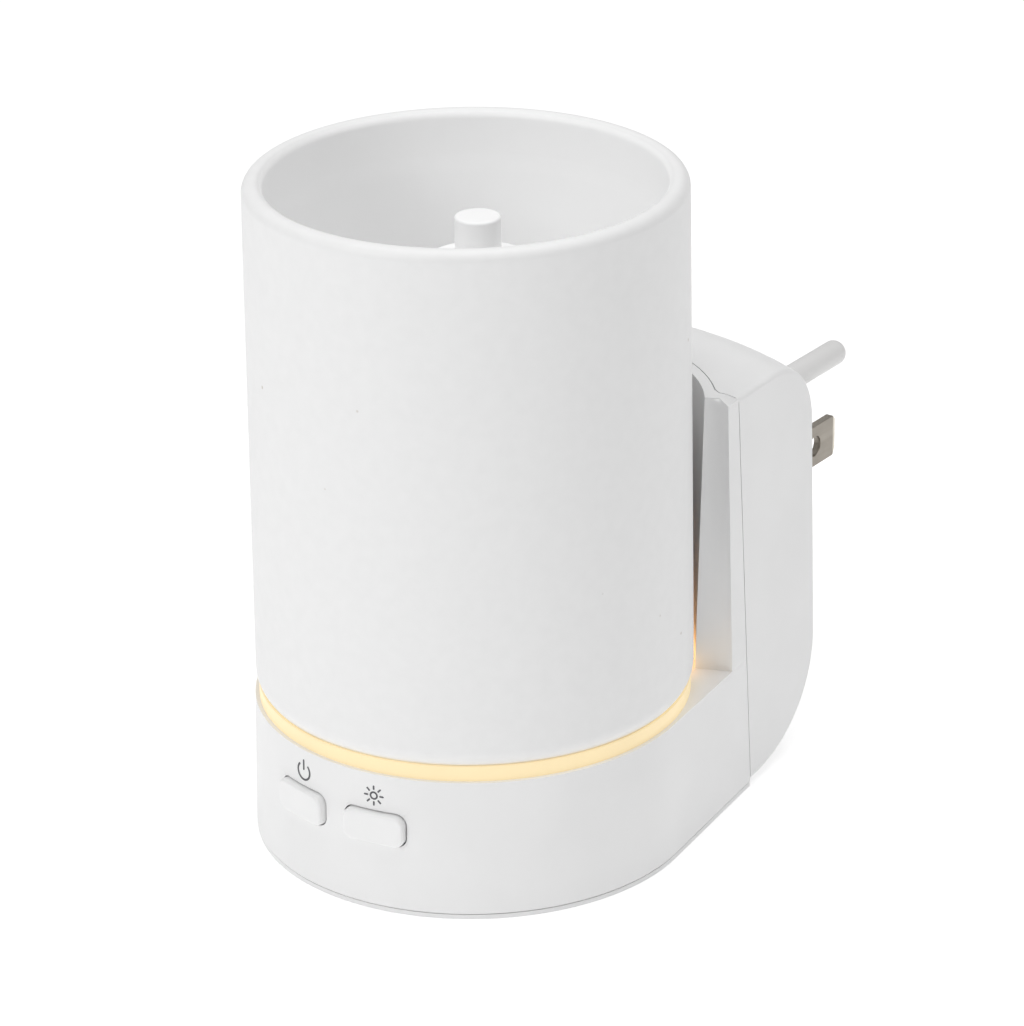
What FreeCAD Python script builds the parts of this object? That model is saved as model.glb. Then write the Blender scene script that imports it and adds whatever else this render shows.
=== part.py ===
import FreeCAD, Part
import math
import os

import Sketcher

# Plug-in wax melt warmer: a ceramic cup stands on a heated plate in a glowing ring, on a base with two
# buttons, and a column behind it holds the electronics and the mains plug.
# Frame: +Z up, buttons towards -Y, plug towards +Y, origin on the cup's axis at the underside. Millimetres.

# Driving sizes

SIZES = {
    # Housing: heights, and the base in plan
    "lip_height": 1.05, "deck_height": 25.7, "column_rise": 50.2,
    "ring_inset": 0.38, "deck_margin": 0.73, "base_draft": 0.65, "side_start": 6.0,
    # Seam between front body and rear shell, measured in from the base's radius
    "seam_inset_low": 4.1, "seam_inset_top": 5.5, "seam_back_inset_low": 4.1, "seam_back_inset_top": 6.9,
    "seam_flat_rise": 0.7, "seam_flat_outer": 8.3, "seam_flat_inner": 10.0, "seam_step": 1.3,
    # Column's front: a scoop round the cup and two wings, at the deck and at the top
    "scoop_inset": 3.7, "scoop_centre_deck": 7.45, "scoop_centre_top": 10.3, "scoop_wall": 1.95,
    "wing_inner_deck": 9.9, "wing_inner_top": 10.8,
    "wing_mid_deck": 6.7, "wing_mid_rise_deck": 1.9, "wing_mid_top": 8.6, "wing_mid_rise_top": 1.2,
    "wing_outer_deck": 3.85, "wing_outer_rise_deck": 2.7, "wing_outer_top": 5.1, "wing_outer_rise_top": -1.4,
    # Rear shell in plan and in its side profile
    "corner_inset_low": 4.9, "corner_inset_top": 7.2, "corner_set": 8.3, "column_depth": 27.7,
    "back_radius": 75.0, "top_round": 12.6, "bottom_round": 20.6, "side_round": 1.0,
    # Walls and clearances
    "wall": 2.2, "deck_wall": 2.4, "seam_gap": 0.2, "fit_gap": 0.3, "slip_gap": 0.1, "overrun": 5.0,
    "edge_round": 0.8, "near": 0.001,
    # Cup
    "cup_foot_radius": 38.3, "cup_taper": 0.8, "seat_rise": 1.0, "cup_height": 94.0, "cup_wall": 3.3,
    "cup_foot_round": 4.5, "rim_round": 1.4, "cup_floor": 5.4, "cup_inner_round": 6.0,
    "crease_depth": 10.2, "crease_step": 0.2, "pillar_radius": 9.8, "pillar_foot_radius": 11.4,
    "pillar_drop": 15.6, "pillar_round": 1.5, "post_radius": 3.95, "post_drop": 7.9,
    "post_shift_x": 1.55, "post_shift_y": 1.1,
    "pillar_bore_gap": 0.8, "pillar_bore_taper": 1.2, "pillar_roof": 3.5,
    # Light ring and the guide under it
    "guide_inset": 0.5, "guide_wall": 1.8,
    # Heater
    "plate_gap": 0.6, "plate_thickness": 2.7, "spigot_radius": 5.6, "spigot_height": 3.0,
    "stone_radius": 12.0, "stone_thickness": 2.8, "mica_margin": 1.5, "mica_thickness": 0.6,
    "carrier_gap": 1.2, "carrier_wall": 2.0, "carrier_floor": 2.0, "flange_reach": 0.9, "flange_thickness": 1.2,
    "spring_span": 14.0, "spring_strip": 0.6, "spring_rise": 8.6, "spring_width": 8.0,
    "fuse_radius": 1.9, "fuse_length": 11.0, "fuse_set": 5.0,
    # Lights
    "board_thickness": 1.2, "led_board_drop": 5.6, "led_board_gap": 0.5, "led_length": 2.0, "led_width": 1.6,
    "led_height": 0.9,
    # Buttons and switches
    "button_angle": 11.75, "button_shift": 2.65, "button_width": 11.5, "button_height": 5.8, "button_corner": 1.8,
    "button_drop": 9.9, "button_proud": 1.0, "button_gap": 0.25, "button_edge": 0.5,
    "button_flange": 1.0, "button_flange_wall": 0.8, "button_travel": 0.4,
    "plunger_radius": 0.9, "plunger_length": 1.2,
    "switch_drop": 1.2, "switch_size": 4.5, "switch_depth": 1.0, "stem_radius": 1.0, "stem_inside": 0.3,
    "stem_gap": 0.25, "control_set": 2.9, "control_half": 14.0, "control_rise": 1.1, "control_margin": 1.2,
    # Bottom cover
    "cover_inset": 0.1, "cover_plate": 0.85, "cover_rim": 2.0, "cover_rim_wall": 1.4,
    "support_inset": 6.3, "support_radius": 3.0, "boss_radius": 2.7, "boss_inset": 9.7, "boss_back_inset": 6.6,
    "screw_radius": 1.3, "screw_head_radius": 2.2, "screw_head": 1.1, "screw_length": 8.0,
    "vent_length": 9.0, "vent_width": 1.6, "vent_pitch": 3.6, "vent_corner": 0.75,
    # Electronics in the column
    "power_board_gap": 2.15, "power_board_thick": 1.6, "power_board_side": 3.1, "power_board_low_gap": 5.6,
    "power_board_top_gap": 7.9, "board_post_side": 3.0, "board_post_rise": 2.6, "board_post_radius": 2.0,
    "transformer_side": 2.0, "transformer_top_gap": 6.5, "transformer_height": 17.0, "transformer_gap": 0.9,
    "capacitor_radius": 3.2, "capacitor_gap": 3.2, "capacitor_side": 3.7, "capacitor_rise": 6.0,
    "capacitor_pitch": 7.6, "chip_width": 8.0, "chip_height": 4.4, "chip_depth": 1.6, "chip_rise": 4.6, "chip_side": 6.6,
    "lead_thickness": 1.3, "lead_width": 7.0, "lead_x": 5.0, "control_lead_x": -12.0, "lead_gap": 2.1,
    "lead_bend": 1.6, "lead_rise": 3.2, "heater_lead_rise": 4.0,
    # Rear fixing
    "rear_boss_inset": 14.3, "rear_boss_rise": 0.8, "rear_boss_radius": 2.8, "rear_boss_wall": 0.9, "screw_gap": 0.7,
    "rear_boss_split": 8.2, "rear_hole_floor": 3.0,
    # Plug
    "plug_side": 17.5, "plug_proud": 0.2, "blade_spacing": 12.7, "blade_thickness": 1.5,
    "neutral_width": 7.94, "hot_width": 6.35, "blade_length": 18.9, "blade_hole": 11.7, "blade_hole_radius": 1.95,
    "blade_corner": 2.0, "blade_bevel": 0.45, "pin_rise": 11.9, "pin_radius": 2.4,
    "pin_length": 31.4, "pin_relief": 0.5, "pin_relief_depth": 0.2, "pin_flange_radius": 4.0, "pin_flange": 1.5,
    "block_half": 12.4, "block_low": 6.9, "block_high": 5.6, "block_corner": 4.0, "block_depth": 10.4,
    "block_flange": 1.5,
}
BLADE_RISE_SHARE = 0.4442
LED_COUNT = 8

doc = FreeCAD.newDocument("wax_warmer")
sheet = doc.addObject("Spreadsheet::Sheet", "sizes")
for row, (alias, number) in enumerate(SIZES.items(), 1):
    sheet.set(f"A{row}", alias)
    sheet.set(f"B{row}", str(number))
    sheet.setAlias(f"B{row}", alias)
doc.recompute()


class Size:
    """A length with its value and the expression that binds it to the sheet."""

    def __init__(self, value, text):
        self.value = value
        self.text = text

    def __add__(self, other):
        return Size(self.value + other.value, f"({self.text} + {other.text})")

    def __sub__(self, other):
        return Size(self.value - other.value, f"({self.text} - {other.text})")

    def __neg__(self):
        return Size(-self.value, f"(0 - {self.text})")

    def __mul__(self, share):
        return Size(self.value * share, f"({self.text} * {share!r})")

    def __truediv__(self, share):
        return Size(self.value / share, f"({self.text} / {share!r})")

    def leg(self, other):
        """The other leg of a right triangle with this hypotenuse."""
        value = math.sqrt(self.value ** 2 - other.value ** 2)
        return Size(value, f"sqrt({self.text} * {self.text} - {other.text} * {other.text})")

    def between(self, other, start, end, place):
        """The size on the straight line from self at start to other at end, at a place between or past them."""
        value = self.value + (other.value - self.value) * (place.value - start.value) / (end.value - start.value)
        share = f"(({place.text}) - ({start.text})) / (({end.text}) - ({start.text}))"
        return Size(value, f"({self.text} + ({other.text} - {self.text}) * {share})")


class Sizes:
    """Reads the sheet: size.wall is the wall's value with its expression."""

    def __getattr__(self, alias):
        return Size(float(getattr(sheet, alias)), f"sizes.{alias}")


size = Sizes()
ZERO = Size(0.0, "0")

# Sizes that follow from the driving ones
# The cup's foot sets the ring, the deck and the base
cup_rim_radius = size.cup_foot_radius - size.cup_taper
ring_radius = size.cup_foot_radius - size.ring_inset
deck_radius = ring_radius + size.deck_margin
base_radius = deck_radius + size.base_draft
column_height = size.deck_height + size.column_rise
deck_under = size.deck_height - size.deck_wall
scoop_radius = size.cup_foot_radius - size.scoop_inset
scoop_back = size.scoop_centre_top + scoop_radius + size.scoop_wall
seam_half_low = base_radius - size.seam_inset_low
seam_half_top = base_radius - size.seam_inset_top
seam_back_low = base_radius - size.seam_back_inset_low
seam_back_top = base_radius - size.seam_back_inset_top
corner_half_low = base_radius - size.corner_inset_low
corner_half_top = base_radius - size.corner_inset_top
back_depth = base_radius + size.column_depth
corner_back = back_depth - size.corner_set
# The light guide, the heater and the lights, from the cup's seat down
cup_seat = size.deck_height + size.seat_rise
guide_outer = size.cup_foot_radius - size.cup_foot_round - size.guide_inset
ring_inner = guide_outer - size.guide_wall
deck_hole = guide_outer + size.fit_gap
plate_radius = ring_inner - size.plate_gap
plate_low = cup_seat - size.plate_thickness
stone_low = plate_low - size.stone_thickness
mica_radius = size.stone_radius + size.mica_margin
mica_low = stone_low - size.mica_thickness
carrier_top = mica_low - size.spring_rise
carrier_low = carrier_top - size.carrier_floor
carrier_radius = ring_inner - size.carrier_gap
flange_radius = guide_outer + size.flange_reach
fuse_back = mica_radius + size.fuse_set
led_board_low = plate_low - size.led_board_drop
led_board_inner = carrier_radius + size.led_board_gap
led_low = led_board_low + size.board_thickness
led_circle = (ring_inner + guide_outer) / 2
guide_low = led_low + size.led_height + size.fit_gap
# Buttons, switches and the control board, from the base's wall inwards
button_centre = size.deck_height - size.button_drop
button_wall = base_radius.between(deck_radius, size.lip_height, size.deck_height, button_centre)
button_front = button_wall + size.button_proud
flange_front = (button_wall - size.wall).leg(size.button_width / 2 + size.button_flange) - size.fit_gap
flange_back = flange_front - size.button_flange_wall
plunger_front = flange_front - size.plunger_length
control_front = plunger_front - size.control_set
control_back = control_front - size.board_thickness
switch_front = control_front + size.switch_depth
switch_height = button_centre - size.switch_drop
control_top = button_centre + size.control_rise
cover_top = size.cover_plate + size.cover_rim
control_lead_z = (cover_top + carrier_low) / 2
control_low = control_lead_z - size.lead_thickness / 2 - size.control_margin
boss_x = base_radius - size.boss_inset
boss_y = seam_back_low - size.boss_back_inset
support_circle = carrier_radius - size.support_inset
# Plug, power board and rear fixing
plug_x = corner_half_top - size.plug_side
plug_face = back_depth + size.plug_proud
blade_z = size.deck_height + size.column_rise * BLADE_RISE_SHARE
pin_z = blade_z + size.pin_rise
block_bottom = blade_z - size.block_low
block_top = pin_z + size.block_high
block_front = plug_face - size.block_depth
board_front = scoop_back + size.power_board_gap
board_back = board_front + size.power_board_thick
board_half = corner_half_top - size.power_board_side
board_low = size.deck_height + size.power_board_low_gap
board_top = column_height - size.power_board_top_gap
board_post_x = board_half - size.board_post_side
board_post_z = board_low + size.board_post_rise
capacitor_x = plug_x - size.block_half - size.block_flange - size.capacitor_side - size.capacitor_radius
capacitor_z = board_low + size.capacitor_rise
capacitor_far = capacitor_x - size.capacitor_pitch - size.capacitor_radius
chip_x = plug_x - size.chip_side
chip_z = board_low + size.chip_rise
transformer_left = size.transformer_side - board_half
transformer_right = capacitor_x - size.capacitor_radius - size.fit_gap * 2
transformer_top = board_top - size.transformer_top_gap
inner_back_radius = size.back_radius - size.wall
transformer_back = back_depth - size.back_radius + inner_back_radius.leg(transformer_left) - size.transformer_gap
capacitor_back = back_depth - size.back_radius + inner_back_radius.leg(capacitor_far) - size.capacitor_gap
lead_back = board_front - size.lead_gap
lead_top = board_low + size.lead_rise
rear_boss_x = base_radius - size.rear_boss_inset
rear_boss_z = size.deck_height + size.rear_boss_rise
rear_boss_split = base_radius + size.rear_boss_split
rear_boss_seat = rear_boss_split + size.fit_gap + size.rear_hole_floor
rear_hole_radius = size.screw_head_radius + size.screw_gap
pillar_bore_radius = size.spigot_radius + size.pillar_bore_gap


# Tools for sketches and features

def bind(item, name, length):
    """Sets a property and binds it to the sheet."""
    item.setExpression(name, length.text)


def new_body(label):
    body = doc.addObject("PartDesign::Body", label)
    body.Label = label
    body.AllowCompound = True
    return body


def new_sketch(body, name, plane, offset=ZERO):
    """A sketch on an origin plane of its body, moved along the plane's normal."""
    sketch = body.newObject("Sketcher::SketchObject", name)
    origin_plane = [f for f in body.Origin.OriginFeatures if f.Role == plane][0]
    sketch.AttachmentSupport = (origin_plane, [""])
    sketch.MapMode = "FlatFace"
    if offset is not ZERO:
        sketch.AttachmentOffset = FreeCAD.Placement(FreeCAD.Vector(0, 0, offset.value), FreeCAD.Rotation())
        bind(sketch, "AttachmentOffset.Base.z", offset)
    return sketch


def hold(sketch, kind, geometry, length):
    """Adds a constraint with a value and binds it."""
    index = sketch.addConstraint(Sketcher.Constraint(kind, *geometry, length.value))
    name = f"c{index}"
    sketch.renameConstraint(index, name)
    sketch.setExpression(f"Constraints.{name}", length.text)


def hold_point(sketch, geometry, position, point):
    """Holds a point of the sketch at its place from the origin."""
    for kind, axis, length in (("DistanceX", -2, point[0]), ("DistanceY", -1, point[1])):
        if length is ZERO:
            sketch.addConstraint(Sketcher.Constraint("PointOnObject", geometry, position, axis))
        else:
            hold(sketch, kind, (-1, 1, geometry, position), length)


def arc_between(start, end, radius, turn):
    """The arc of less than half a circle from start to end; turn is 1 to the left and -1 to the right."""
    chord = end - start
    middle = start + chord * 0.5
    reach = math.sqrt(max(radius ** 2 - (chord.Length * 0.5) ** 2, 0))
    side = FreeCAD.Vector(-chord.y, chord.x, 0).normalize() * (reach * turn)
    centre = middle + side
    first, last = (start, end) if turn > 0 else (end, start)
    low = math.atan2(first.y - centre.y, first.x - centre.x)
    high = math.atan2(last.y - centre.y, last.x - centre.x)
    circle = Part.Circle(centre, FreeCAD.Vector(0, 0, 1), radius)
    return Part.ArcOfCircle(circle, low, high if high > low else high + 2 * math.pi)


def outline(sketch, points, arcs=None):
    """A closed outline: straight edges between points, or an arc of a radius and turn where arcs names one."""
    arcs = arcs or {}
    vectors = [FreeCAD.Vector(x.value, y.value, 0) for x, y in points]
    ends = []
    for i, start in enumerate(vectors):
        end = vectors[(i + 1) % len(vectors)]
        if i in arcs:
            radius, turn = arcs[i]
            index = sketch.addGeometry(arc_between(start, end, radius.value, turn), False)
            ends.append((index, 1, 2) if turn > 0 else (index, 2, 1))
        else:
            index = sketch.addGeometry(Part.LineSegment(start, end), False)
            ends.append((index, 1, 2))
    for i, (index, first, _) in enumerate(ends):
        before, _, last = ends[i - 1]
        sketch.addConstraint(Sketcher.Constraint("Coincident", before, last, index, first))
        hold_point(sketch, index, first, points[i])
    for i, (radius, _) in arcs.items():
        hold(sketch, "Radius", (ends[i][0],), radius)


def mirrored(points, arcs=None):
    """The right half of an outline, listed from its front to its back, joined to its mirror image."""
    arcs = arcs or {}
    count = len(points)
    left = [(-x, y) for x, y in reversed(points)]
    whole = dict(arcs)
    for i, (radius, turn) in arcs.items():
        if i + 1 < count:
            whole[2 * count - 2 - i] = (radius, turn)
    return points + left, whole


def circle(sketch, x, y, radius):
    index = sketch.addGeometry(Part.Circle(FreeCAD.Vector(x.value, y.value, 0), FreeCAD.Vector(0, 0, 1), radius.value))
    hold_point(sketch, index, 3, (x, y))
    hold(sketch, "Radius", (index,), radius)


def rectangle(sketch, left, right, low, high):
    outline(sketch, [(left, low), (right, low), (right, high), (left, high)])


def rounded_rectangle(sketch, left, right, low, high, corner):
    points = [(left + corner, low), (right - corner, low), (right, low + corner), (right, high - corner),
              (right - corner, high), (left + corner, high), (left, high - corner), (left, low + corner)]
    outline(sketch, points, {i: (corner, 1) for i in (1, 3, 5, 7)})


def feature(body, kind, name, profile):
    item = body.newObject(f"PartDesign::{kind}", name)
    item.Profile = profile
    profile.Visibility = False
    return item


def pad(body, profile, length, back=False):
    item = feature(body, "Pad", profile.Name + "_pad", profile)
    bind(item, "Length", length)
    item.Reversed = back
    return item


def pocket(body, profile, depth, back=False):
    """Cuts a profile into the body, and stops if it takes nothing away."""
    doc.recompute()
    before = body.Shape.Volume
    item = feature(body, "Pocket", profile.Name + "_cut", profile)
    bind(item, "Length", depth)
    item.Reversed = back
    doc.recompute()
    if not body.Shape.Volume < before:
        raise RuntimeError(f"{item.Name} cuts nothing")
    return item


def revolve(body, profile):
    item = feature(body, "Revolution", profile.Name + "_turned", profile)
    item.ReferenceAxis = (profile, ["V_Axis"])
    item.Angle = 360
    return item


def loft(body, low, high):
    item = feature(body, "AdditiveLoft", low.Name + "_loft", low)
    item.Sections = [high]
    item.Ruled = True
    high.Visibility = False
    return item


def round_edges(body, base, radius, test, name):
    """Rounds the edges of the last feature that pass the test."""
    doc.recompute()
    names = [f"Edge{i}" for i, edge in enumerate(base.Shape.Edges, 1) if test(edge)]
    if not names:
        raise RuntimeError(f"{name} finds no edge")
    item = body.newObject("PartDesign::Fillet", name)
    item.Base = (base, names)
    bind(item, "Radius", radius)
    return item


def cylinder(name, radius, length, x, y, z, axis="Z"):
    """A round bar whose near end is at a place, along +Z, +Y or -Y."""
    bar = doc.addObject("Part::Cylinder", name)
    bind(bar, "Radius", radius)
    bind(bar, "Height", length)
    turns = {"Z": FreeCAD.Rotation(), "Y": FreeCAD.Rotation(FreeCAD.Vector(1, 0, 0), -90),
             "-Y": FreeCAD.Rotation(FreeCAD.Vector(1, 0, 0), 90)}
    bar.Placement = FreeCAD.Placement(FreeCAD.Vector(x.value, y.value, z.value), turns[axis])
    for letter, place in (("x", x), ("y", y), ("z", z)):
        bind(bar, f"Placement.Base.{letter}", place)
    return bar


def box(name, left, right, front, back, low, high):
    block = doc.addObject("Part::Box", name)
    for side, length in (("Length", right - left), ("Width", back - front), ("Height", high - low)):
        bind(block, side, length)
    for letter, place in (("x", left), ("y", front), ("z", low)):
        bind(block, f"Placement.Base.{letter}", place)
    return block


def fused(label, *items):
    item = doc.addObject("Part::MultiFuse", label)
    item.Shapes = list(items)
    item.Refine = True
    return item


def less(label, base, *tools):
    """The base without its tools."""
    tool = tools[0] if len(tools) == 1 else fused(label + "_tools", *tools)
    item = doc.addObject("Part::Cut", label)
    item.Base = base
    item.Tool = tool
    item.Refine = True
    return item


def group(label, items):
    """Like pieces that share one node, each a solid of its own."""
    item = doc.addObject("Part::Compound", label)
    item.Links = items
    return item


# Outlines of the housing, each at a height and drawn in by an inset

def base_outline(sketch, radius, seam_half, seam_back, inset):
    """The round base in plan, with its sides running back to the seam."""
    inner = radius - inset
    half, arcs = mirrored([(ZERO, -inner), (inner.leg(size.side_start), size.side_start),
                           (seam_half - inset, seam_back)], {0: (inner, 1)})
    outline(sketch, half[:3] + half[3:5], {0: arcs[0], 4: (inner, 1)})


def scoop_centre(height):
    return size.scoop_centre_deck.between(size.scoop_centre_top, size.deck_height, column_height, height)


def wing(height, name):
    """A corner of the column's front, x and y, at a height."""
    spread = size.deck_height, column_height, height
    inset = getattr(size, f"wing_{name}_deck"), getattr(size, f"wing_{name}_top")
    x = base_radius - inset[0].between(inset[1], *spread)
    if name == "inner":
        return x, scoop_centre(height) + scoop_radius.leg(x)
    rise = getattr(size, f"wing_{name}_rise_deck"), getattr(size, f"wing_{name}_rise_top")
    return x, wing(height, "inner")[1] + rise[0].between(rise[1], *spread)


def seam(height):
    """The seam between front body and rear shell on the side, x and y, at a height."""
    spread = size.lip_height, column_height, height
    return (seam_half_low.between(seam_half_top, *spread),
            seam_back_low.between(seam_back_top, *spread))


def seam_curve(height, gap):
    """The seam inwards from the side: a short flat, then a step to the arc behind the scoop."""
    flat_y = seam(height)[1] + size.seam_flat_rise + gap
    outer = base_radius - size.seam_flat_outer
    inner = base_radius - size.seam_flat_inner
    end = inner - size.seam_step
    radius = scoop_radius + size.scoop_wall + gap
    return [(outer, flat_y), (inner, flat_y), (end, scoop_centre(height) + radius.leg(end))], radius


def front_outline(sketch, height):
    """The column's front wall in plan: scoop, wings, sides and the seam behind them."""
    curve, radius = seam_curve(height, ZERO)
    right = [wing(height, name) for name in ("inner", "mid", "outer")] + [seam(height)] + curve
    left = [(-x, y) for x, y in reversed(right)]
    last = len(right) - 1
    outline(sketch, right + left, {last: (radius, 1), 2 * last + 1: (scoop_radius, -1)})


def wing_hollow_outline(sketch, height, turn):
    """The hollow behind a wing, open to the rear."""
    middle, outer = wing(height, "mid"), wing(height, "outer")
    side_x, side_y = seam(height)
    inner_x = base_radius - size.seam_flat_inner
    back = side_y + size.overrun
    right = [(inner_x, middle[1] + size.wall), (outer[0] - size.wall, outer[1] + size.wall),
             (side_x - size.wall, back), (inner_x, back)]
    outline(sketch, right if turn > 0 else [(-x, y) for x, y in reversed(right)])


def seam_tool_outline(sketch, height):
    """What the front wall takes out of the rear shell's front, with the seam's gap."""
    curve, radius = seam_curve(height, size.seam_gap)
    side_x, side_y = seam(height)
    past_x = side_x * 2 - curve[0][0]
    past_y = side_y * 2 + size.seam_gap * 2 - curve[0][1]
    right = [(past_x, past_y - size.overrun * 4), (past_x, past_y)] + curve
    left = [(-x, y) for x, y in reversed(right)]
    outline(sketch, right + left, {len(right) - 1: (radius, 1)})


def side_outline(sketch, height, inset, front_shift):
    """The rear shell's sides in plan, drawn in a little as they run back past its round back."""
    spread = size.lip_height, column_height, height
    x, y = seam(height)
    corner = corner_half_low.between(corner_half_top, *spread)
    end = back_depth + size.overrun
    far = x.between(corner, y, corner_back, end) - inset
    outline(sketch, [(x - inset, y + front_shift), (far, end), (-far, end), (-(x - inset), y + front_shift)])


# Outer and inner forms of the housing

def two_level(label, draw, low, high):
    """A straight-sided form between an outline at a low and one at a high level."""
    body = new_body(label)
    sketches = []
    for name, height in (("low", low), ("high", high)):
        sketch = new_sketch(body, f"{label}_{name}", "XY_Plane", height)
        draw(sketch, height)
        sketches.append(sketch)
    loft(body, *sketches)
    return body


def base_form(label, inset, low, high, seam_shift):
    def draw(sketch, height):
        radius = base_radius.between(deck_radius, size.lip_height, size.deck_height, height)
        x, y = seam(height)
        base_outline(sketch, radius, x, y + seam_shift, inset)
    return two_level(label, draw, low, high)


def back_form(label, inset):
    """The turned form of the rear shell's back: a gentle round in plan with a rounded top and bottom."""
    body = new_body(label)
    body.Placement.Base.y = back_depth.value - size.back_radius.value
    bind(body, "Placement.Base.y", back_depth - size.back_radius)
    sketch = new_sketch(body, label + "_profile", "XZ_Plane")
    outer = size.back_radius - inset
    low = size.lip_height + inset
    high = column_height - inset
    top = size.top_round - inset
    bottom = size.bottom_round - inset
    outline(sketch, [(ZERO, low), (outer - bottom, low), (outer, low + bottom), (outer, high - top),
                     (outer - top, high), (ZERO, high)], {1: (bottom, 1), 3: (top, 1)})
    revolve(body, sketch)
    return body


def rear_form(label, inset, front_shift):
    """The rear shell's solid form: its sides cut by its turned back."""
    low = size.lip_height - size.overrun
    high = column_height + size.overrun
    sides = two_level(label + "_sides", lambda sketch, z: side_outline(sketch, z, inset, front_shift), low, high)
    item = doc.addObject("Part::Common", label)
    item.Base = sides
    item.Tool = back_form(label + "_back", inset)
    return item


def rounded_rear(form):
    """The rear form with its edges between sides and back softened."""
    doc.recompute()
    front = seam(size.lip_height)[1] + size.edge_round
    numbers = [i for i, edge in enumerate(form.Shape.Edges, 1)
               if edge.BoundBox.YMax > front.value and edge.BoundBox.XLength < size.corner_set.value]
    if not numbers:
        raise RuntimeError("the rear form has no side edges")
    item = doc.addObject("Part::Fillet", form.Name + "_soft")
    item.Base = form
    item.Edges = [(i, size.side_round.value, size.side_round.value) for i in numbers]
    return item


def bar_y(name, radius, x, z, front, back):
    """A round bar along Y between a front and a back."""
    return cylinder(name, radius, back - front, x, front, z, "Y")


# Front body: base, deck and the column's front wall in one moulding

def add_front_body():
    outer = base_form("base_outer", ZERO, size.lip_height, size.deck_height, ZERO)
    column = two_level("column_front", front_outline, deck_under, column_height)
    inner = base_form("base_inner", size.wall, size.lip_height - size.overrun, deck_under, size.overrun)
    hollows = [two_level(f"wing_hollow_{side}", lambda sketch, z, turn=turn: wing_hollow_outline(sketch, z, turn),
                         deck_under - size.overrun, column_height - size.wall)
               for side, turn in (("left", -1), ("right", 1))]
    hole = cylinder("deck_hole", deck_hole, size.deck_wall + size.overrun, ZERO, ZERO, deck_under - size.seam_gap)
    windows = [button_window(f"window_{side}", turn) for side, turn in (("left", -1), ("right", 1))]
    shell = less("front_shell", fused("front_solid", outer, column), inner, *hollows, hole, *windows)
    posts = []
    for side, turn in (("left", -1), ("right", 1)):
        low = cover_top + size.fit_gap
        posts.append(cylinder(f"cover_post_{side}", size.boss_radius, deck_under + size.slip_gap - low,
                              boss_x * turn, boss_y, low))
        front = scoop_centre(rear_boss_z) + (scoop_radius + size.scoop_wall / 2).leg(rear_boss_x)
        posts.append(bar_y(f"rear_post_{side}", size.rear_boss_radius, rear_boss_x * turn, rear_boss_z,
                           front, rear_boss_split))
    holes = [screw_hole(f"cover_bore_{side}", boss_x * turn, boss_y) for side, turn in
             (("left", -1), ("right", 1))]
    holes += [bar_y(f"rear_bore_{side}", size.screw_radius + size.slip_gap, rear_boss_x * turn,
                    rear_boss_z, rear_boss_split - size.screw_length, rear_boss_split + size.overrun)
              for side, turn in (("left", -1), ("right", 1))]
    return less("front_body", fused("front_with_posts", shell, *posts), *holes)


def screw_hole(name, x, y):
    return cylinder(name, size.screw_radius + size.slip_gap, size.screw_length, x, y, cover_top)


def turn_body(body, turn):
    """Turns a body about the cup's axis to the left or right button's place."""
    angle = size.button_angle * turn - size.button_shift
    body.Placement = FreeCAD.Placement(FreeCAD.Vector(), FreeCAD.Rotation(FreeCAD.Vector(0, 0, 1), angle.value))
    bind(body, "Placement.Rotation.Angle", angle)


def button_outline(sketch, grow):
    half_width = size.button_width / 2 + grow
    half_height = size.button_height / 2 + grow
    rounded_rectangle(sketch, -half_width, half_width, button_centre - half_height,
                      button_centre + half_height, size.button_corner + grow)


def button_window(name, turn):
    """The opening that a button slides in."""
    body = new_body(name)
    sketch = new_sketch(body, name + "_edge", "XZ_Plane", flange_front - size.wall)
    button_outline(sketch, size.button_gap)
    pad(body, sketch, size.wall * 4)
    turn_body(body, turn)
    return body


# Rear shell

def add_rear_shell():
    outer = rounded_rear(rear_form("rear_outer", ZERO, size.seam_gap))
    inner = rear_form("rear_inner", size.wall, -size.overrun)
    tool = two_level("seam_tool", seam_tool_outline, deck_under,
                     column_height + size.overrun)
    window = new_body("plug_window")
    sketch = new_sketch(window, "plug_window_edge", "XZ_Plane", -(back_depth + size.overrun))
    block_outline(sketch, size.seam_gap)
    pad(window, sketch, size.overrun * 3)
    posts = []
    holes = []
    wall_front = back_depth - size.wall * 2
    for side, turn in (("left", -1), ("right", 1)):
        x = rear_boss_x * turn
        posts.append(bar_y(f"rear_tube_{side}", rear_hole_radius + size.rear_boss_wall, x, rear_boss_z,
                           rear_boss_split + size.fit_gap, wall_front))
        holes.append(bar_y(f"rear_recess_{side}", rear_hole_radius, x, rear_boss_z, rear_boss_seat,
                           back_depth + size.overrun))
        holes.append(bar_y(f"rear_way_{side}", size.screw_radius + size.slip_gap, x, rear_boss_z,
                           rear_boss_split, back_depth))
        posts.append(bar_y(f"board_post_{side}", size.board_post_radius, board_post_x * turn, board_post_z, board_back,
                           wall_front))
        holes.append(bar_y(f"board_bore_{side}", size.screw_radius, board_post_x * turn, board_post_z,
                           board_back - size.overrun, board_back + size.screw_length))
    rib = box("board_rib", transformer_left, transformer_right, board_front, board_back + size.power_board_thick,
              board_top + size.fit_gap, column_height - size.wall / 2)
    whole = fused("rear_posts", *posts, rib)
    kept = doc.addObject("Part::Common", "rear_posts_kept")
    kept.Base = whole
    kept.Tool = rear_form("rear_middle", size.wall / 2, -size.overrun)
    shell = less("rear_walls", outer, inner, tool, window)
    return less("rear_shell", fused("rear_with_posts", shell, kept), *holes)


# Bottom cover

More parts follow.
